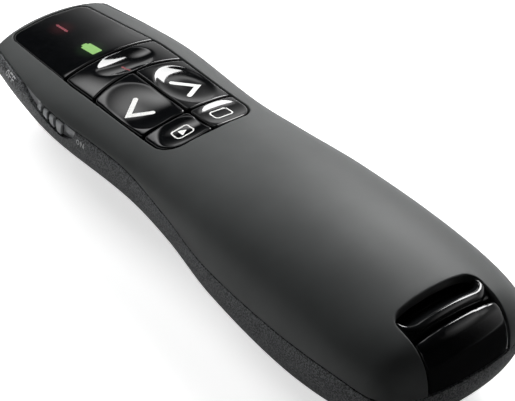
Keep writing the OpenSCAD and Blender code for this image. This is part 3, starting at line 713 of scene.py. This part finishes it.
def glowAt(tree, coords, place, spread, longer=1.0):
    # a soft oval patch about a place in plan: 1 in its middle, 0 from the spread outwards, longer along Y
    flat = node(tree, "ShaderNodeMapping", Vector=coords, Scale=(1, 1 / longer, 0))
    away = node(tree, "ShaderNodeVectorMath", {"operation": "DISTANCE"}, i0=(flat, "Vector"),
                i1=(place[0] * mm, place[1] * mm / longer, 0))
    return node(tree, "ShaderNodeMapRange", {"interpolation_type": "SMOOTHSTEP"}, i0=(away, "Value"),
                i1=0.0, i2=spread * mm, i3=1.0, i4=0.0)


def printedInk(name, colour, worn, glow=0.0):
    # pad-printed ink: a thin satin film, a little uneven where the pad left less of it
    material, tree, shader, coords = newMaterial(name)
    patch = node(tree, "ShaderNodeTexNoise", Vector=coords, Scale=perMetre(0.35), Detail=3.0, Roughness=0.6)
    tint = surfaced(tree, shader, (patch, (0.32, worn), (0.5, colour)), (patch, 0.3, 0.42), IOR=1.5)
    if glow:
        wire(tree, shader, Emission_Color=(tint, "Color"), Emission_Strength=glow)
    return material


def smokedAcrylic(glows):
    # clear acrylic dyed almost black over lit symbols: deep gloss, with their light spreading in it
    material = polishedAbs("smokedAcrylic", "#060708", 0.05)
    tree = material.node_tree
    coords = (next(n for n in tree.nodes if n.type == "TEX_COORD"), "Object")
    last = None
    for place, spread, colour in glows:
        patch = glowAt(tree, coords, place, spread)
        lit = node(tree, "ShaderNodeMix", {"data_type": "RGBA"}, i0=(patch, "Result"),
                   i6=(0, 0, 0, 1), i7=linear(colour))
        if last:
            lit = node(tree, "ShaderNodeMix", {"data_type": "RGBA", "blend_type": "ADD"}, i0=1.0,
                       i6=(last, "Result"), i7=(lit, "Result"))
        last = lit
    wire(tree, tree.nodes["Principled BSDF"], Emission_Color=(last, 2), Emission_Strength=1.0, IOR=1.49)
    return material


def dress(piece, body, material, slot, *nodes):
    piece.data.materials.clear()
    piece.data.materials.append(material)
    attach(piece, body)
    if nodes:
        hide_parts(*nodes)
    return piece


rubberPaint = softTouchPaint()
sparkPlastic = sparkAbs()
keyGloss = polishedAbs("polishedBlackAbs")
receiverGloss = polishedAbs("polishedReceiverAbs", "#0a0b0c", 0.09)
# matt from an etched tool, a little grey where it scatters
mattBlack = plainPlastic("mattBlackAbs", ("#0c0d0e", "#141516"), (0.45, 0.6))
black = plainPlastic("mouldedBlackAbs", ("#151617", "#1d1e1f"), (0.42, 0.58))
# a satin grey for the switch: lighter than the knob and the pocket's floor are, its grey is painted light where
# the lamp catches their ridges and slopes
paintedLightSatin = plainPlastic("satinGreyPaintedLight", ("#8d8f91", "#9a9c9e"), (0.3, 0.4), 0.25)
print("materials made")

# upper shell
notch = {"width": 17.7, "frontY": -46.7, "corner": 2.6, "rim": 0.3,
         "bow": (0.5, 0.1), "bowRound": 6}  # the front edge's fall at its corners and halfway to them
deckForm = {"reach": 1.1, "thick": 1.1, "depth": 2.7}


def bowedOutline(width, front, rear, rearRound, corner, step=0.25):
    # an outline in plan whose front edge bows forwards a little
    w, (most, some), soft = width / 2, notch["bow"], notch["bowRound"]
    return rounded([(-w, rear), (w, rear), (w, front - most), (w / 2, front - some), (0, front),
                    (-w / 2, front - some), (-w, front - most)],
                   [rearRound, rearRound, corner, soft, soft, soft, corner], step)


upper = halfForm("upperShell", True)
notchOutline = bowedOutline(notch["width"], notch["frontY"], past["tail"], 0, notch["corner"])
carve(upper, [fullForm("inner", housing["wall"]),
              flareCutter("opening", panelOutline(), panel["rim"]),
              flareCutter("notch", notchOutline, notch["rim"])])
dress(upper, "casing", rubberPaint, "soft_touch_shell", "upper_shell")
deck = plate("keyDeck", shrunk(panelOutline(), -deckForm["reach"]),
             lambda p, q, d: onTop(p, q, d + deckForm["depth"]), deckForm["thick"], 0.0, 1.0)
dress(deck, "casing", mattBlack, "black_plastic")
print("upper shell made")

# lower shell and battery door
door = {"width": 22.0, "play": 0.15, "front": -2.2, "corner": 3.0, "skin": 1.6, "top": 20,
        "line": [(5.3, -48.5), (7.0, -52.5), (9.0, -56.0), (9.2, -60.0)]}  # rear edge: heights and places
grip = {"count": 4, "from": -7.2, "pitch": 2.0, "wide": 0.8, "half": 6.0, "deep": 0.45,
        "round": 0.38, "low": -2, "high": 4}


def doorSpace(name, width, front, drop):
    # all that lies inside the door's outline and below its rising rear edge
    outline = boxCorners(-width / 2, past["tail"], width / 2, front)
    space = prism(name, rounded(outline, [0, 0, door["corner"], door["corner"]]), past["below"], door["top"])
    rise = [(front + 1, door["line"][0][0] - drop)] + [(y, z - drop) for z, y in door["line"]]
    rise += [(-60, past["below"]), (front + 1, past["below"])]
    return carve(space, [sidePrism("rise", rise, -past["side"], past["side"])], "INTERSECT")


pocket = {"y": 30.4, "z": 15.8, "long": 4.4, "tall": 2.45, "point": 12.8, "pointRound": 0.15, "depth": 0.9,
          "inner": -13.0}
slot = {"y": (31.1, 38.0), "z": (13.35, 14.55), "x": (-30, -9.0), "short": 0.05}
fixing = {"x": 8.6, "y": 48.6, "seat": 10.2, "head": 2.1}
aperture = {"z": 11.3, "radius": 2.0, "bevel": 0.45, "sunk": 0.05, "deep": 4, "out": 2}


def pocketOutline():
    # an oval drawn out to a point at its front
    disc = (circle(pocket["y"], pocket["z"], 1.0, 72) - [pocket["y"], pocket["z"]])
    disc = disc * [pocket["long"], pocket["tall"]] + [pocket["y"], pocket["z"]]
    point = circle(pocket["y"] + pocket["point"], pocket["z"], pocket["pointRound"], 12)
    return resampled(convexHull(np.vstack([disc, point])), 0.2)


def roundCutter(name, at, way, profile, count=48):
    # a turned cutter: profile gives distance along the way and radius
    axis = Vector(way).normalized()
    side = axis.orthogonal().normalized()
    other = axis.cross(side)
    rings = [[tuple(Vector(at) + axis * d + (side * math.cos(a) + other * math.sin(a)) * r)
              for a in np.linspace(0, 2 * math.pi, count, endpoint=False)] for d, r in profile]
    return loft(name, rings)


lower = halfForm("lowerShell", False)
pocketCutter = sidePrism("pocketCutter", pocketOutline(), -past["side"], pocket["inner"])
carve(pocketCutter, [fullForm("core", pocket["depth"])])
slotBox = boxCorners(slot["x"][0], slot["y"][0], slot["x"][1], slot["y"][1])
slotCutter = carve(prism("switchSlot", slotBox, *slot["z"]),
                   [fullForm("core", pocket["depth"] - slot["short"])], "INTERSECT")
r, flare = aperture["radius"], aperture["radius"] + aperture["bevel"]
apertureCutter = roundCutter("aperture", (0, housing["nose"] - aperture["sunk"], aperture["z"]), (0, 1, 0),
                             [(-aperture["deep"], r), (-aperture["bevel"], r), (0, flare),
                              (aperture["out"], flare + aperture["out"])])
wells = [roundCutter("screwWell", (s * fixing["x"], fixing["y"], 0), (0, 0, 1),
                     [(-1, fixing["head"]), (fixing["seat"], fixing["head"])]) for s in (-1, 1)]
carve(lower, [fullForm("inner", housing["wall"]),
              doorSpace("doorway", door["width"] + 2 * door["play"], door["front"] + door["play"], 0),
              pocketCutter, slotCutter, apertureCutter] + wells)
dress(lower, "casing", sparkPlastic, "spark_shell", "lower_shell")

hatch = halfForm("batteryDoor", False)
carve(hatch, [fullForm("inner", door["skin"])])
carve(hatch, [doorSpace("hatchSpace", door["width"], door["front"], door["play"])], "INTERSECT")
for i in range(grip["count"]):
    y = door["front"] + grip["from"] - grip["pitch"] * i
    outline = rounded(boxCorners(-grip["half"], y, grip["half"], y + grip["wide"]), grip["round"], 0.15)
    groove = prism("gripGroove", outline, grip["low"], grip["high"])
    carve(hatch, [carve(groove, [fullForm("core", grip["deep"])])])
dress(hatch, "battery_door", sparkPlastic, "spark_shell", "battery_door")
print("lower shell and battery door made")

# window and keys
window = {"thick": 1.2, "edge": 0.42, "step": 0.5}
signs = {"battery": (-1.0, 40.9), "half": 1.05, "low": 1.95, "high": 1.75, "round": 0.3,
         "capHalf": 0.55, "capTop": 2.3, "capRound": 0.15,
         "beam": (-0.35, 50.7), "beamHalf": 1.5, "beamPen": 0.5}
windowGlass = smokedAcrylic([(signs["battery"], 3.6, "#152a12"), (signs["beam"], 3.2, "#2b0c10")])
pane = plate("indicatorWindow", windowOutline(), onTop, window["thick"], window["edge"], window["step"])
dress(pane, "casing", windowGlass, "smoked_window", "indicator_window")

keyCap = {"thick": 1.1, "edge": 0.35, "step": 0.3}
keys = {
    "laser_button": {"outline": laserOutline(), "dish": (2.2, 33.5), "radius": (7.4, 3.6, 4.6),
                     "deep": 0.95, "rise": 2.0},
    "back_button": {"outline": pageOutline(-1), "dish": (-5.2, 21.3), "radius": (5.2, 6.9),
                    "deep": 0.55, "rise": 2.6},
    "forward_button": {"outline": pageOutline(1), "dish": (5.0, 21.3), "radius": (4.6, 6.5),
                       "deep": 0.55, "rise": 3.5},
    "play_button": {"outline": smallOutline(-1), "dish": (-4.2, 10.3), "radius": (4.7, 3.8),
                    "deep": 0.66, "rise": 2.2},
    "blank_button": {"outline": smallOutline(1), "dish": (4.9, 10.4), "radius": (4.6, 3.7),
                     "deep": 0.36, "rise": 2.2},
}


def keySurface(key):
    # the skin with a finger dish, steepest at its rim; its radii reach left, along Y and, if given, right
    cx, cy = key["dish"]
    left, ry, right = (key["radius"] + key["radius"][:1])[:3]

    def surface(p, q, depth):
        rx = np.where(p < cx, left, right)
        rho = np.sqrt(((p - cx) / rx) ** 2 + ((q - cy) / ry) ** 2)
        bowl = 1 - rho ** key["rise"]
        sink = key["deep"] * 0.5 * (bowl + np.sqrt(bowl**2 + 0.004))
        return np.column_stack([p, q, skinTop(p, q) - depth - sink])
    return surface


surfaces = {name: keySurface(key) for name, key in keys.items()}
for name, key in keys.items():
    cap = plate(name.replace("_button", "Key"), key["outline"], surfaces[name],
                keyCap["thick"], keyCap["edge"], keyCap["step"])
    dress(cap, name, keyGloss, "gloss_black", name)

icons = {"pen": 0.9, "line": 0.27, "round": 0.75, "arrowRound": 0.1,
         "back": [(-4.35, 23.45), (-7.95, 20.8), (-4.4, 18.5)],
         "forward": [(3.55, 23.4), (6.85, 20.25), (3.65, 18.45)],
         "play": (-5.9, 9.4, -2.1, 12.0), "arrow": [(-4.55, 9.95), (-3.05, 10.75), (-4.55, 11.5)],
         "blank": (2.35, 9.3, 6.35, 11.85),
         "beam": [(0.0, 30.7), (0.0, 33.0)], "beamPen": 0.42}
whiteInk = printedInk("whiteKeyInk", "#f2f2f0", "#dcdcda")
redInk = printedInk("dullRedInk", "#7d2f36", "#5c2228")
greenLight = printedInk("litGreenSymbol", "#7ba85e", "#729f56", 0.2)
redLight = printedInk("litRedSymbol", "#76303a", "#6a2a33", 0.15)


def iconFrame(name, icon, key):
    box = rounded(boxCorners(*icons[icon]), icons["round"], 0.15)
    return hoop(name, box, icons["line"], surfaces[key])


def batteryOutline():
    # an upright battery sign: a box with a small cap
    cx, cy = signs["battery"]
    right = [(signs["half"], -signs["low"], signs["round"]), (signs["half"], signs["high"], signs["round"]),
             (signs["capHalf"], signs["high"], 0), (signs["capHalf"], signs["capTop"], signs["capRound"])]
    left = [(-x, y, r) for x, y, r in right]
    corners = left[:1] + right + left[:0:-1]
    return rounded([(cx + x, cy + y) for x, y, _ in corners], [r for _, _, r in corners], 0.15)


for way in ("back", "forward"):
    key = way + "_button"
    icon = mark(way + "Icon", strokeOutline(icons[way], icons["pen"]), surfaces[key])
    dress(icon, key, whiteInk, "tongue_white")
arrow = mark("arrow", rounded(icons["arrow"], icons["arrowRound"], 0.12), surfaces["play_button"])
dress(joined("playIcon", [iconFrame("frame", "play", "play_button"), arrow]), "play_button", whiteInk,
      "tongue_white")
dress(iconFrame("blankIcon", "blank", "blank_button"), "blank_button", whiteInk, "tongue_white")
dress(mark("beamIcon", strokeOutline(icons["beam"], icons["beamPen"]), surfaces["laser_button"]),
      "laser_button", redInk, "led_red")
dress(mark("batteryLight", batteryOutline(), onTop), "casing", greenLight, "led_green")
cx, cy = signs["beam"]
beam = strokeOutline([(cx, cy - signs["beamHalf"]), (cx, cy + signs["beamHalf"])], signs["beamPen"])
dress(mark("beamLight", beam, onTop), "casing", redLight, "led_red")
print("window, keys and their marks made")

# power switch
knob = {"rear": 29.6, "length": 7.4, "top": 15.67, "play": 0.15, "travel": 2.5, "proud": 0.05, "thick": 0.66,
        "middleDrop": 0.9, "ridges": 3, "firstRidge": 1.75, "pitch": 1.95, "lean": -18.0, "leanDrop": 1.1,
        "groove": 0.34, "padDepth": 0.54, "padSunk": 0.1, "edge": 0.12, "step": 0.14}
leaf = {"drop": 0.1, "low": 14.6, "frontFrom": 31.5, "rearTo": 30.9, "depth": 0.8, "bottom": 0.94}


def insideBy(polygon):
    # distance inside a counter-clockwise convex polygon
    ways = np.roll(polygon, -1, axis=0) - polygon
    lengths = np.maximum(np.linalg.norm(ways, axis=1), 1e-9)

    def inside(p):
        away = ways[:, 0] * (p[1] - polygon[:, 1]) - ways[:, 1] * (p[0] - polygon[:, 0])
        return float(np.min(away / lengths))
    return inside


def knobOutline():
    # the knob fits the pocket at both ends of its travel; its rim is found outwards from its middle
    inPocket = insideBy(pocketOutline())
    rear, front = knob["rear"], knob["rear"] + knob["length"]

    def room(p):
        moved = (p[0] + knob["travel"], p[1])
        return min(inPocket(p) - knob["play"], inPocket(moved) - knob["play"],
                   p[0] - rear, front - p[0], knob["top"] - p[1])

    middle = np.array([(rear + front) / 2, pocket["z"] - knob["middleDrop"]])
    out = []
    for a in np.linspace(0, 2 * math.pi, 360, endpoint=False):
        way, lo, hi = np.array([math.cos(a), math.sin(a)]), 0.0, 8.0
        for _ in range(24):
            r = (lo + hi) / 2
            lo, hi = (r, hi) if room(middle + way * r) > 0 else (lo, r)
        out.append(middle + way * lo)
    return resampled(out, knob["step"])


def grooveSide(i, side):
    # how far a place lies past one side of a leaning groove
    lean = math.radians(knob["lean"])
    start = knob["rear"] + knob["firstRidge"] + knob["pitch"] * i
    low = pocket["z"] - knob["leanDrop"]
    return lambda p: side * ((p[0] - start) * math.cos(lean) + (p[1] - low) * math.sin(lean)) - knob["groove"]


def knobSurface(p, q, depth):
    return onLeftFlank(p, q, depth + knob["proud"])


rim = knobOutline()
# the knob's ridges: satin grey over a black slider, the grey lighter than the knob's own dark grey as painted
# light on the ridges
pads = []
for i in range(knob["ridges"] + 1):
    pad = rim
    if i > 0:
        pad = clipped(pad, grooveSide(i - 1, 1))
    if i < knob["ridges"]:
        pad = clipped(pad, grooveSide(i, -1))
    pads.append(plate("knobPad", resampled(pad, knob["step"]), knobSurface,
                      knob["padDepth"] + knob["padSunk"], knob["edge"], 0.25))
dress(joined("knobPads", pads), "power_switch", paintedLightSatin, "switch_grey")
slider = plate("powerKnob", rim, lambda p, q, d: knobSurface(p, q, d + knob["padDepth"]),
               knob["thick"] - knob["padDepth"], 0.0, 0.4)
dress(slider, "power_switch", black, "black_plastic", "power_switch")
# plates on the pocket's floor ahead of and behind the knob, in light grey that is painted light where the floor
# catches the lamp
underBrow = clipped(pocketOutline(), lambda p: knob["top"] - leaf["drop"] - p[1])
frontLeaf = clipped(clipped(underBrow, lambda p: p[1] - leaf["low"]), lambda p: p[0] - leaf["frontFrom"])
rearLeaf = clipped(underBrow, lambda p: leaf["rearTo"] - p[0])
leaves = [plate("leaf", resampled(outline, 0.2), onLeftFlank, leaf["bottom"], 0.0, 0.5, -leaf["depth"])
          for outline in (frontLeaf, rearLeaf)]
dress(joined("switchLeaf", leaves), "casing", paintedLightSatin, "switch_grey")

lettering = {"pen": 0.15, "tall": 0.95, "wide": 0.8, "step": 1.15, "low": 14.5, "round": 0.38,
             "overlap": 0.002, "on": 25.2, "off": 48.6}
letters = {"O": [], "N": [[(0, 0), (0, 1)], [(0, 1), (1, 0)], [(1, 0), (1, 1)]],
           "F": [[(0, 0), (0, 1)], [(0, 1), (1, 1)], [(0, 0.52), (0.8, 0.52)]]}


def flankWord(name, word, start):
    # letters read from the nose end towards the tail; strokes that cross lie over each other
    pieces = []
    for i, letter in enumerate(word):
        y, z = start - i * lettering["step"], lettering["low"]
        w, h = lettering["wide"], lettering["tall"]
        if letter == "O":
            ring = rounded(boxCorners(y - w, z, y, z + h), lettering["round"], 0.1)
            pieces.append(hoop("ring", ring, lettering["pen"], onLeftFlank))
        for k, path in enumerate(letters[letter]):
            line = strokeOutline([(y - a * w, z + b * h) for a, b in path], lettering["pen"])
            pieces.append(mark("stroke", line, onLeftFlank, ink["lift"] + lettering["overlap"] * k))
    return joined(name, pieces)


greyInk = printedInk("greyFlankInk", "#c6c8c9", "#a2a4a5")
dress(flankWord("onMark", "ON", lettering["on"]), "casing", greyInk, "tongue_white")
dress(flankWord("offMark", "OFF", lettering["off"]), "casing", greyInk, "tongue_white")
print("power switch made")

# tail: finger scoop and receiver
scoop = {"width": 17.5, "frontY": -46.8, "backY": -52.0, "corner": 2.5, "rearRound": 0.5,
         "floor": 2.75, "lip": 1.0, "lipDrop": 0.8, "rise": 3.6, "side": 1.5, "sunk": 0.12,
         "turn": 3.0, "turnBack": 1.6, "turnPower": 2.2, "thick": 0.9, "edge": 0.35, "step": 0.22}


def smoothStep(t):
    t = np.clip(t, 0, 1)
    return t * t * (3 - 2 * t)


def scoopSurface(p, q, depth):
    # a hollow that rises backwards to a rolled lip, which bends round at both ends
    side = np.clip(np.abs(p) - scoop["width"] / 2 + scoop["turn"], 0, scoop["turn"]) / scoop["turn"]
    t = q - scoop["backY"] - scoop["turnBack"] * side ** scoop["turnPower"]
    roll = np.clip(1 - t / scoop["lip"], 0, 1)
    lip = scoop["lipDrop"] * (1 - np.sqrt(1 - roll**2))
    wall = smoothStep((scoop["width"] / 2 - np.abs(p)) / scoop["side"])
    hollow = scoop["floor"] * smoothStep((t - scoop["lip"]) / scoop["rise"]) * wall
    return np.column_stack([p, q, skinTop(p, q) - scoop["sunk"] - lip - hollow - depth])


scoopOutline = bowedOutline(scoop["width"], scoop["frontY"], scoop["backY"], scoop["rearRound"],
                            scoop["corner"], 0.2)
bowl = plate("fingerScoop", scoopOutline, scoopSurface, scoop["thick"], scoop["edge"], scoop["step"])
dress(bowl, "casing", polishedAbs("polishedScoopAbs", "#111213", 0.12), "gloss_black", "finger_scoop")

receiver = {"width": 17.2, "frontY": -52.4, "baseZ": 14.3, "thick": 4.6, "lowZ": 15.95, "front": -20.2,
            "edge": 2.0, "sideRound": 0.6, "play": 0.06, "skinPlaces": 56,
            "baseLine": [(-56.0, 0), (-54.4, 1.25)],  # places along the base and their heights over it
            "frontBack": (0.6, 0.2), "barFit": 0.05, "barRound": 0.6, "barBack": 0.5, "barPlay": 0.02}


def headProfile(x, inset):
    # the head's section in Y and Z at this distance from the middle plane
    n, power = housing["crownPower"], housing["endPower"]
    full = float(endScale(receiver["frontY"]))

    def placeAt(e):
        s = (1 - e**power) ** (1 / power)
        u = housing["tail"] + housing["tailRound"] * (1 - s)
        g = along(u, girth)
        reach = np.clip(x / (along(u, halfWidth) * e), 0, 1)
        return u, g + (along(u, crown) - g) * e * (1 - reach**n) ** (1 / n)

    low, high = 0.001, full
    for _ in range(40):
        mid = (low + high) / 2
        if placeAt(mid)[1] > receiver["baseZ"]:
            high = mid
        else:
            low = mid
    start, end = (math.asin(e ** (power / 2)) for e in (high, full))
    y, z = placeAt(np.sin(end + (start - end) * np.linspace(0, 1, 40)) ** (2 / power))
    corner = np.array([receiver["frontY"], float(placeAt(full)[1])])
    far = np.hypot(y - y[0], z - z[0]) > receiver["edge"]
    line = np.column_stack([y[far], z[far]])
    arc = bend(corner - [0, receiver["edge"]], corner, line[0], 9)
    skin = resampledOpen(np.vstack([arc, line[1:]]), receiver["skinPlaces"])
    back, drop = receiver["frontBack"]
    base = [(at, receiver["baseZ"] + up) for at, up in [(line[-1][0] + 0.5, 0)] + receiver["baseLine"]]
    profile = np.vstack([skin, base, (receiver["frontY"] - back, receiver["lowZ"] - drop)])
    inwardWay = -outward(profile)
    middle = receiver["skinPlaces"] // 2
    if inwardWay[middle] @ (profile.mean(axis=0) - profile[middle]) < 0:
        inwardWay = -inwardWay
    return profile + inwardWay * (inset + receiver["play"])


def receiverHead():
    w, r = receiver["width"] / 2, receiver["sideRound"]
    turned = [(w - out, inset) for out, inset in quarterRound(r)]
    level = [(x, 0.0) for x in np.linspace(r - w, w - r, 42)[1:-1]]
    rings = []
    for x, inset in [(-x, inset) for x, inset in turned] + level + turned[::-1]:
        profile = headProfile(abs(x), inset)
        rings.append(np.column_stack([np.full(len(profile), x), profile]))
    return loft("receiverHead", rings, crisp["head"])


def receiverBar():
    # the housing behind the head: a flat bar with all its edges rounded
    width, radius, play = receiver["width"] - receiver["barFit"], receiver["barRound"], receiver["barPlay"]
    low, high = receiver["lowZ"] + play, receiver["lowZ"] + receiver["thick"] - play
    rear, front = receiver["frontY"] - receiver["barBack"], receiver["front"]
    mid, tall = (low + high) / 2, high - low
    outline = rounded(boxCorners(-width / 2, low, width / 2, high), radius, 0.3)
    turned = quarterRound(0.6 * radius, 5)
    ends = [(rear + out, inset) for out, inset in turned] + [(front - out, inset) for out, inset in turned[::-1]]
    rings = []
    for y, inset in ends:
        x = outline[:, 0] * (width / 2 - inset) / (width / 2)
        z = mid + (outline[:, 1] - mid) * (tall / 2 - inset) / (tall / 2)
        rings.append(np.column_stack([x, np.full(len(x), y), z]))
    return loft("receiverHousing", rings)


dress(receiverHead(), "receiver", receiverGloss, "gloss_black", "receiver_cover")
dress(receiverBar(), "receiver", receiverGloss, "gloss_black", "receiver_base")
print("finger scoop and receiver made")

# CAD parts that keep their shape
# metals: warm rolled nickel, bright drawn wire, brass with fine rings from the lathe, cool cloudy zinc,
# and the coppery foil look of a cell's printed film
nickel = plainMetal("nickelPlatedSteel", ("#b9b7b0", "#cfcdc6"), (0.22, 0.34), 0.5, (1, 6, 1))
springSteel = plainMetal("springSteelWire", ("#a9a8a2", "#c6c5bf"), (0.2, 0.3), 0.3)
brass = plainMetal("turnedBrass", ("#a9853f", "#c29a52"), (0.2, 0.32), 0.3, (1, 12, 1))
zinc = plainMetal("zincPlatedSteel", ("#808386", "#a0a3a6"), (0.28, 0.42), 0.4)
cellWrap = plainMetal("printedShrinkWrap", ("#9a6b2a", "#b9843a"), (0.25, 0.35), 0.6)
# plastics: glossy green lacquer, dull sandy epoxy, waxy ivory nylon, clean satin white,
# and clear or dyed lens resins, smooth from the mould
laminate = plainPlastic("solderMaskedLaminate", ("#0f4a2c", "#155c38"), (0.25, 0.4), 0.8)
epoxy = plainPlastic("mouldedEpoxy", ("#151515", "#1e1e1e"), (0.5, 0.65), 0.25)
nylon = plainPlastic("mouldedNylon", ("#b3a07a", "#c6b48d"), (0.4, 0.5), 0.6)
whitePbt = plainPlastic("whitePbt", ("#dcdcd6", "#e9e9e4"), (0.4, 0.5), 0.5)
lensAcrylic = plainPlastic("mouldedLensAcrylic", ("#8fa3ad", "#a7bac4"), (0.05, 0.1), 2.0)
greenLens = plainPlastic("greenEpoxyLens", ("#4f9a3c", "#6cc04f"), (0.1, 0.2), 0.8)
redLens = plainPlastic("redEpoxyLens", ("#8f1c14", "#b92a1e"), (0.1, 0.2), 0.8)

keptParts = {
    "receiver_bay": black, "battery_tray": black, "switch_actuator": black,
    "contact_front": nickel, "contact_rear": nickel, "usb_shell": nickel, "usb_tongue": whitePbt,
    "contact_spring_left": springSteel, "contact_spring_right": springSteel,
    "battery_left": cellWrap, "battery_right": cellWrap,
    "main_board": laminate, "laser_driver": laminate, "led_board": laminate, "receiver_board": laminate,
    "radio_chip": epoxy, "receiver_chip": epoxy, "crystal": zinc, "slide_switch": zinc, "casing_screws": zinc,
    "laser_barrel": brass, "laser_lens": lensAcrylic, "battery_led": greenLens, "laser_led": redLens,
}
for key in ("laser", "back", "forward", "play", "blank"):
    keptParts["tact_switch_" + key] = epoxy
    keptParts["plunger_" + key] = nylon
for name, material in keptParts.items():
    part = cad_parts[name]
    part.data.materials.clear()
    part.data.materials.append(material)
print("inner parts finished")

# floor, lights, camera
studio = {
    "floor": 4000, "floorZ": -0.02, "floorLift": 0.74, "fill": 0.05,
    "cards": {"x": (-2500, 2600), "y": (-900, 2600), "z": (0, 640)},
    "lowCard": {"x": (-250, 800), "rear": -64, "z": -0.01},
    "paleFrom": 450, "paleTo": 1900, "pale": 0.8,
    "patches": [((220, 640), 235, 1.5, 3.4), ((770, 800), 190, 1.0, 1.5), ((620, -330), 420, 1.3, 1.3)],
    # name, place, target, size, brightness, and whether it shows in glossy surfaces
    "lamps": [("softBoxRight", (525, 285, 450), (0, 0, 15), (320, 260), 15.0, True),
              ("softBoxOver", (420, 420, 520), (0, 25, 15), (300, 240), 12.0, False),
              ("softBoxNear", (-40, 270, 230), (0, 40, 15), (160, 120), 10.0, False)],
}


def levelSheet(x0, y0, x1, y1, z):
    return [(x, y, z) for x, y in boxCorners(x0, y0, x1, y1)]


# paper for floors: matt white, a little mottled, and lit for the camera alone
far = studio["floor"]
floor = meshPiece("studioFloor", levelSheet(-far, -far, far, far, studio["floorZ"]), [(0, 1, 2, 3)])
paper, tree, shader, coords = newMaterial("matteStudioPaper")
mottle = node(tree, "ShaderNodeTexNoise", Vector=coords, Scale=perMetre(60), Detail=2.0)
tint = surfaced(tree, shader, (mottle, (0.3, "#f3f3f3"), (0.7, "#f7f7f7")), Roughness=0.85)
path = node(tree, "ShaderNodeLightPath")
lift = node(tree, "ShaderNodeMath", {"operation": "MULTIPLY"}, i0=(path, "Is Camera Ray"),
            i1=studio["floorLift"])
wire(tree, shader, Emission_Color=(tint, "Color"), Emission_Strength=(lift, "Value"))
floor.data.materials.append(paper)

# black felted cards over and behind the set keep the glossy tops dark, and are seen in reflections alone;
# they turn pale to the right and have three soft patches of light
felt, tree, shader, coords = newMaterial("gradedCard")
nap = node(tree, "ShaderNodeTexNoise", Vector=coords, Scale=perMetre(20), Detail=2.0)
surfaced(tree, shader, (nap, (0.3, "#030303"), (0.7, "#070707")), Roughness=0.95, Emission_Color=(1, 1, 1, 1))
place = node(tree, "ShaderNodeSeparateXYZ", Vector=coords)
pale = node(tree, "ShaderNodeMapRange", {"interpolation_type": "SMOOTHSTEP"}, i0=(place, "X"),
            i1=studio["paleFrom"] * mm, i2=studio["paleTo"] * mm, i3=0.0, i4=studio["pale"])
lit = (pale, "Result")
for middle, spread, longer, light in studio["patches"]:
    patch = glowAt(tree, coords, middle, spread, longer)
    added = node(tree, "ShaderNodeMath", {"operation": "MULTIPLY_ADD"}, i0=(patch, "Result"), i1=light, i2=lit)
    lit = (added, "Value")
wire(tree, shader, Emission_Strength=lit)
(x0, x1), (y0, y1), (z0, z1) = studio["cards"]["x"], studio["cards"]["y"], studio["cards"]["z"]
low = studio["lowCard"]
cards = {"cardAbove": levelSheet(x0, y0, x1, y1, z1),
         "cardBehind": [(x0, y0, z0), (x1, y0, z0), (x1, y0, z1), (x0, y0, z1)],
         "cardLow": levelSheet(low["x"][0], y0, low["x"][1], low["rear"], low["z"])}
for name, corners in cards.items():
    card = meshPiece(name, corners, [(0, 1, 2, 3)])
    card.data.materials.append(felt)
    card.visible_camera = card.visible_shadow = card.visible_diffuse = card.visible_transmission = False

# the world is white where it is seen, and a faint fill for the light
world = bpy.context.scene.world or bpy.data.worlds.new("studioWorld")
bpy.context.scene.world = world
world.use_nodes = True
tree = world.node_tree
fill = tree.nodes["Background"]
wire(tree, fill, Color=(1, 1, 1, 1), Strength=studio["fill"])
white = node(tree, "ShaderNodeBackground", Color=(1, 1, 1, 1), Strength=1.0)
path = node(tree, "ShaderNodeLightPath")
seen = (path, "Is Camera Ray")
for ray in ("Is Glossy Ray", "Is Transmission Ray"):
    seen = (node(tree, "ShaderNodeMath", {"operation": "MAXIMUM"}, i0=seen, i1=(path, ray)), "Value")
sky = node(tree, "ShaderNodeMixShader", i0=seen, i1=(fill, "Background"), i2=(white, "Background"))
wire(tree, tree.nodes["World Output"], Surface=(sky, "Shader"))


def areaLight(name, at, target, size, radiance):
    # the power that gives the box's face this brightness
    lamp = bpy.data.lights.new(name, "AREA")
    lamp.shape = "RECTANGLE"
    lamp.size, lamp.size_y = size[0] * mm, size[1] * mm
    lamp.energy = radiance * math.pi * lamp.size * lamp.size_y
    holder = bpy.data.objects.new(name, lamp)
    bpy.context.scene.collection.objects.link(holder)
    holder.location = [v * mm for v in at]
    holder.rotation_mode = "QUATERNION"
    holder.rotation_quaternion = (Vector(target) - Vector(at)).to_track_quat("-Z", "Y")
    return holder


for name, at, target, size, radiance, mirrored in studio["lamps"]:
    areaLight(name, at, target, size, radiance).visible_glossy = mirrored
print("studio set")

view = {"at": (-204.399, -235.231, 273.806), "heading": -40.9884, "tilt": 50.1223, "roll": 2.76,
        "lens": 166.42, "sensor": 36, "shift": (0.0361, -0.0247), "clip": (0.01, 20)}
camera = bpy.data.cameras.new("camera")
camera.lens = view["lens"]
camera.sensor_fit = "HORIZONTAL"
camera.sensor_width = view["sensor"]
camera.shift_x, camera.shift_y = view["shift"]
camera.clip_start, camera.clip_end = view["clip"]
eye = bpy.data.objects.new("camera", camera)
bpy.context.scene.collection.objects.link(eye)
turn = Matrix.Translation([v * mm for v in view["at"]])
for angle, axis in ((view["heading"], "Z"), (view["tilt"], "X"), (view["roll"], "Z")):
    turn = turn @ Matrix.Rotation(math.radians(angle), 4, axis)
eye.matrix_world = turn
bpy.context.scene.camera = eye
bpy.context.scene.view_settings.view_transform = "Standard"
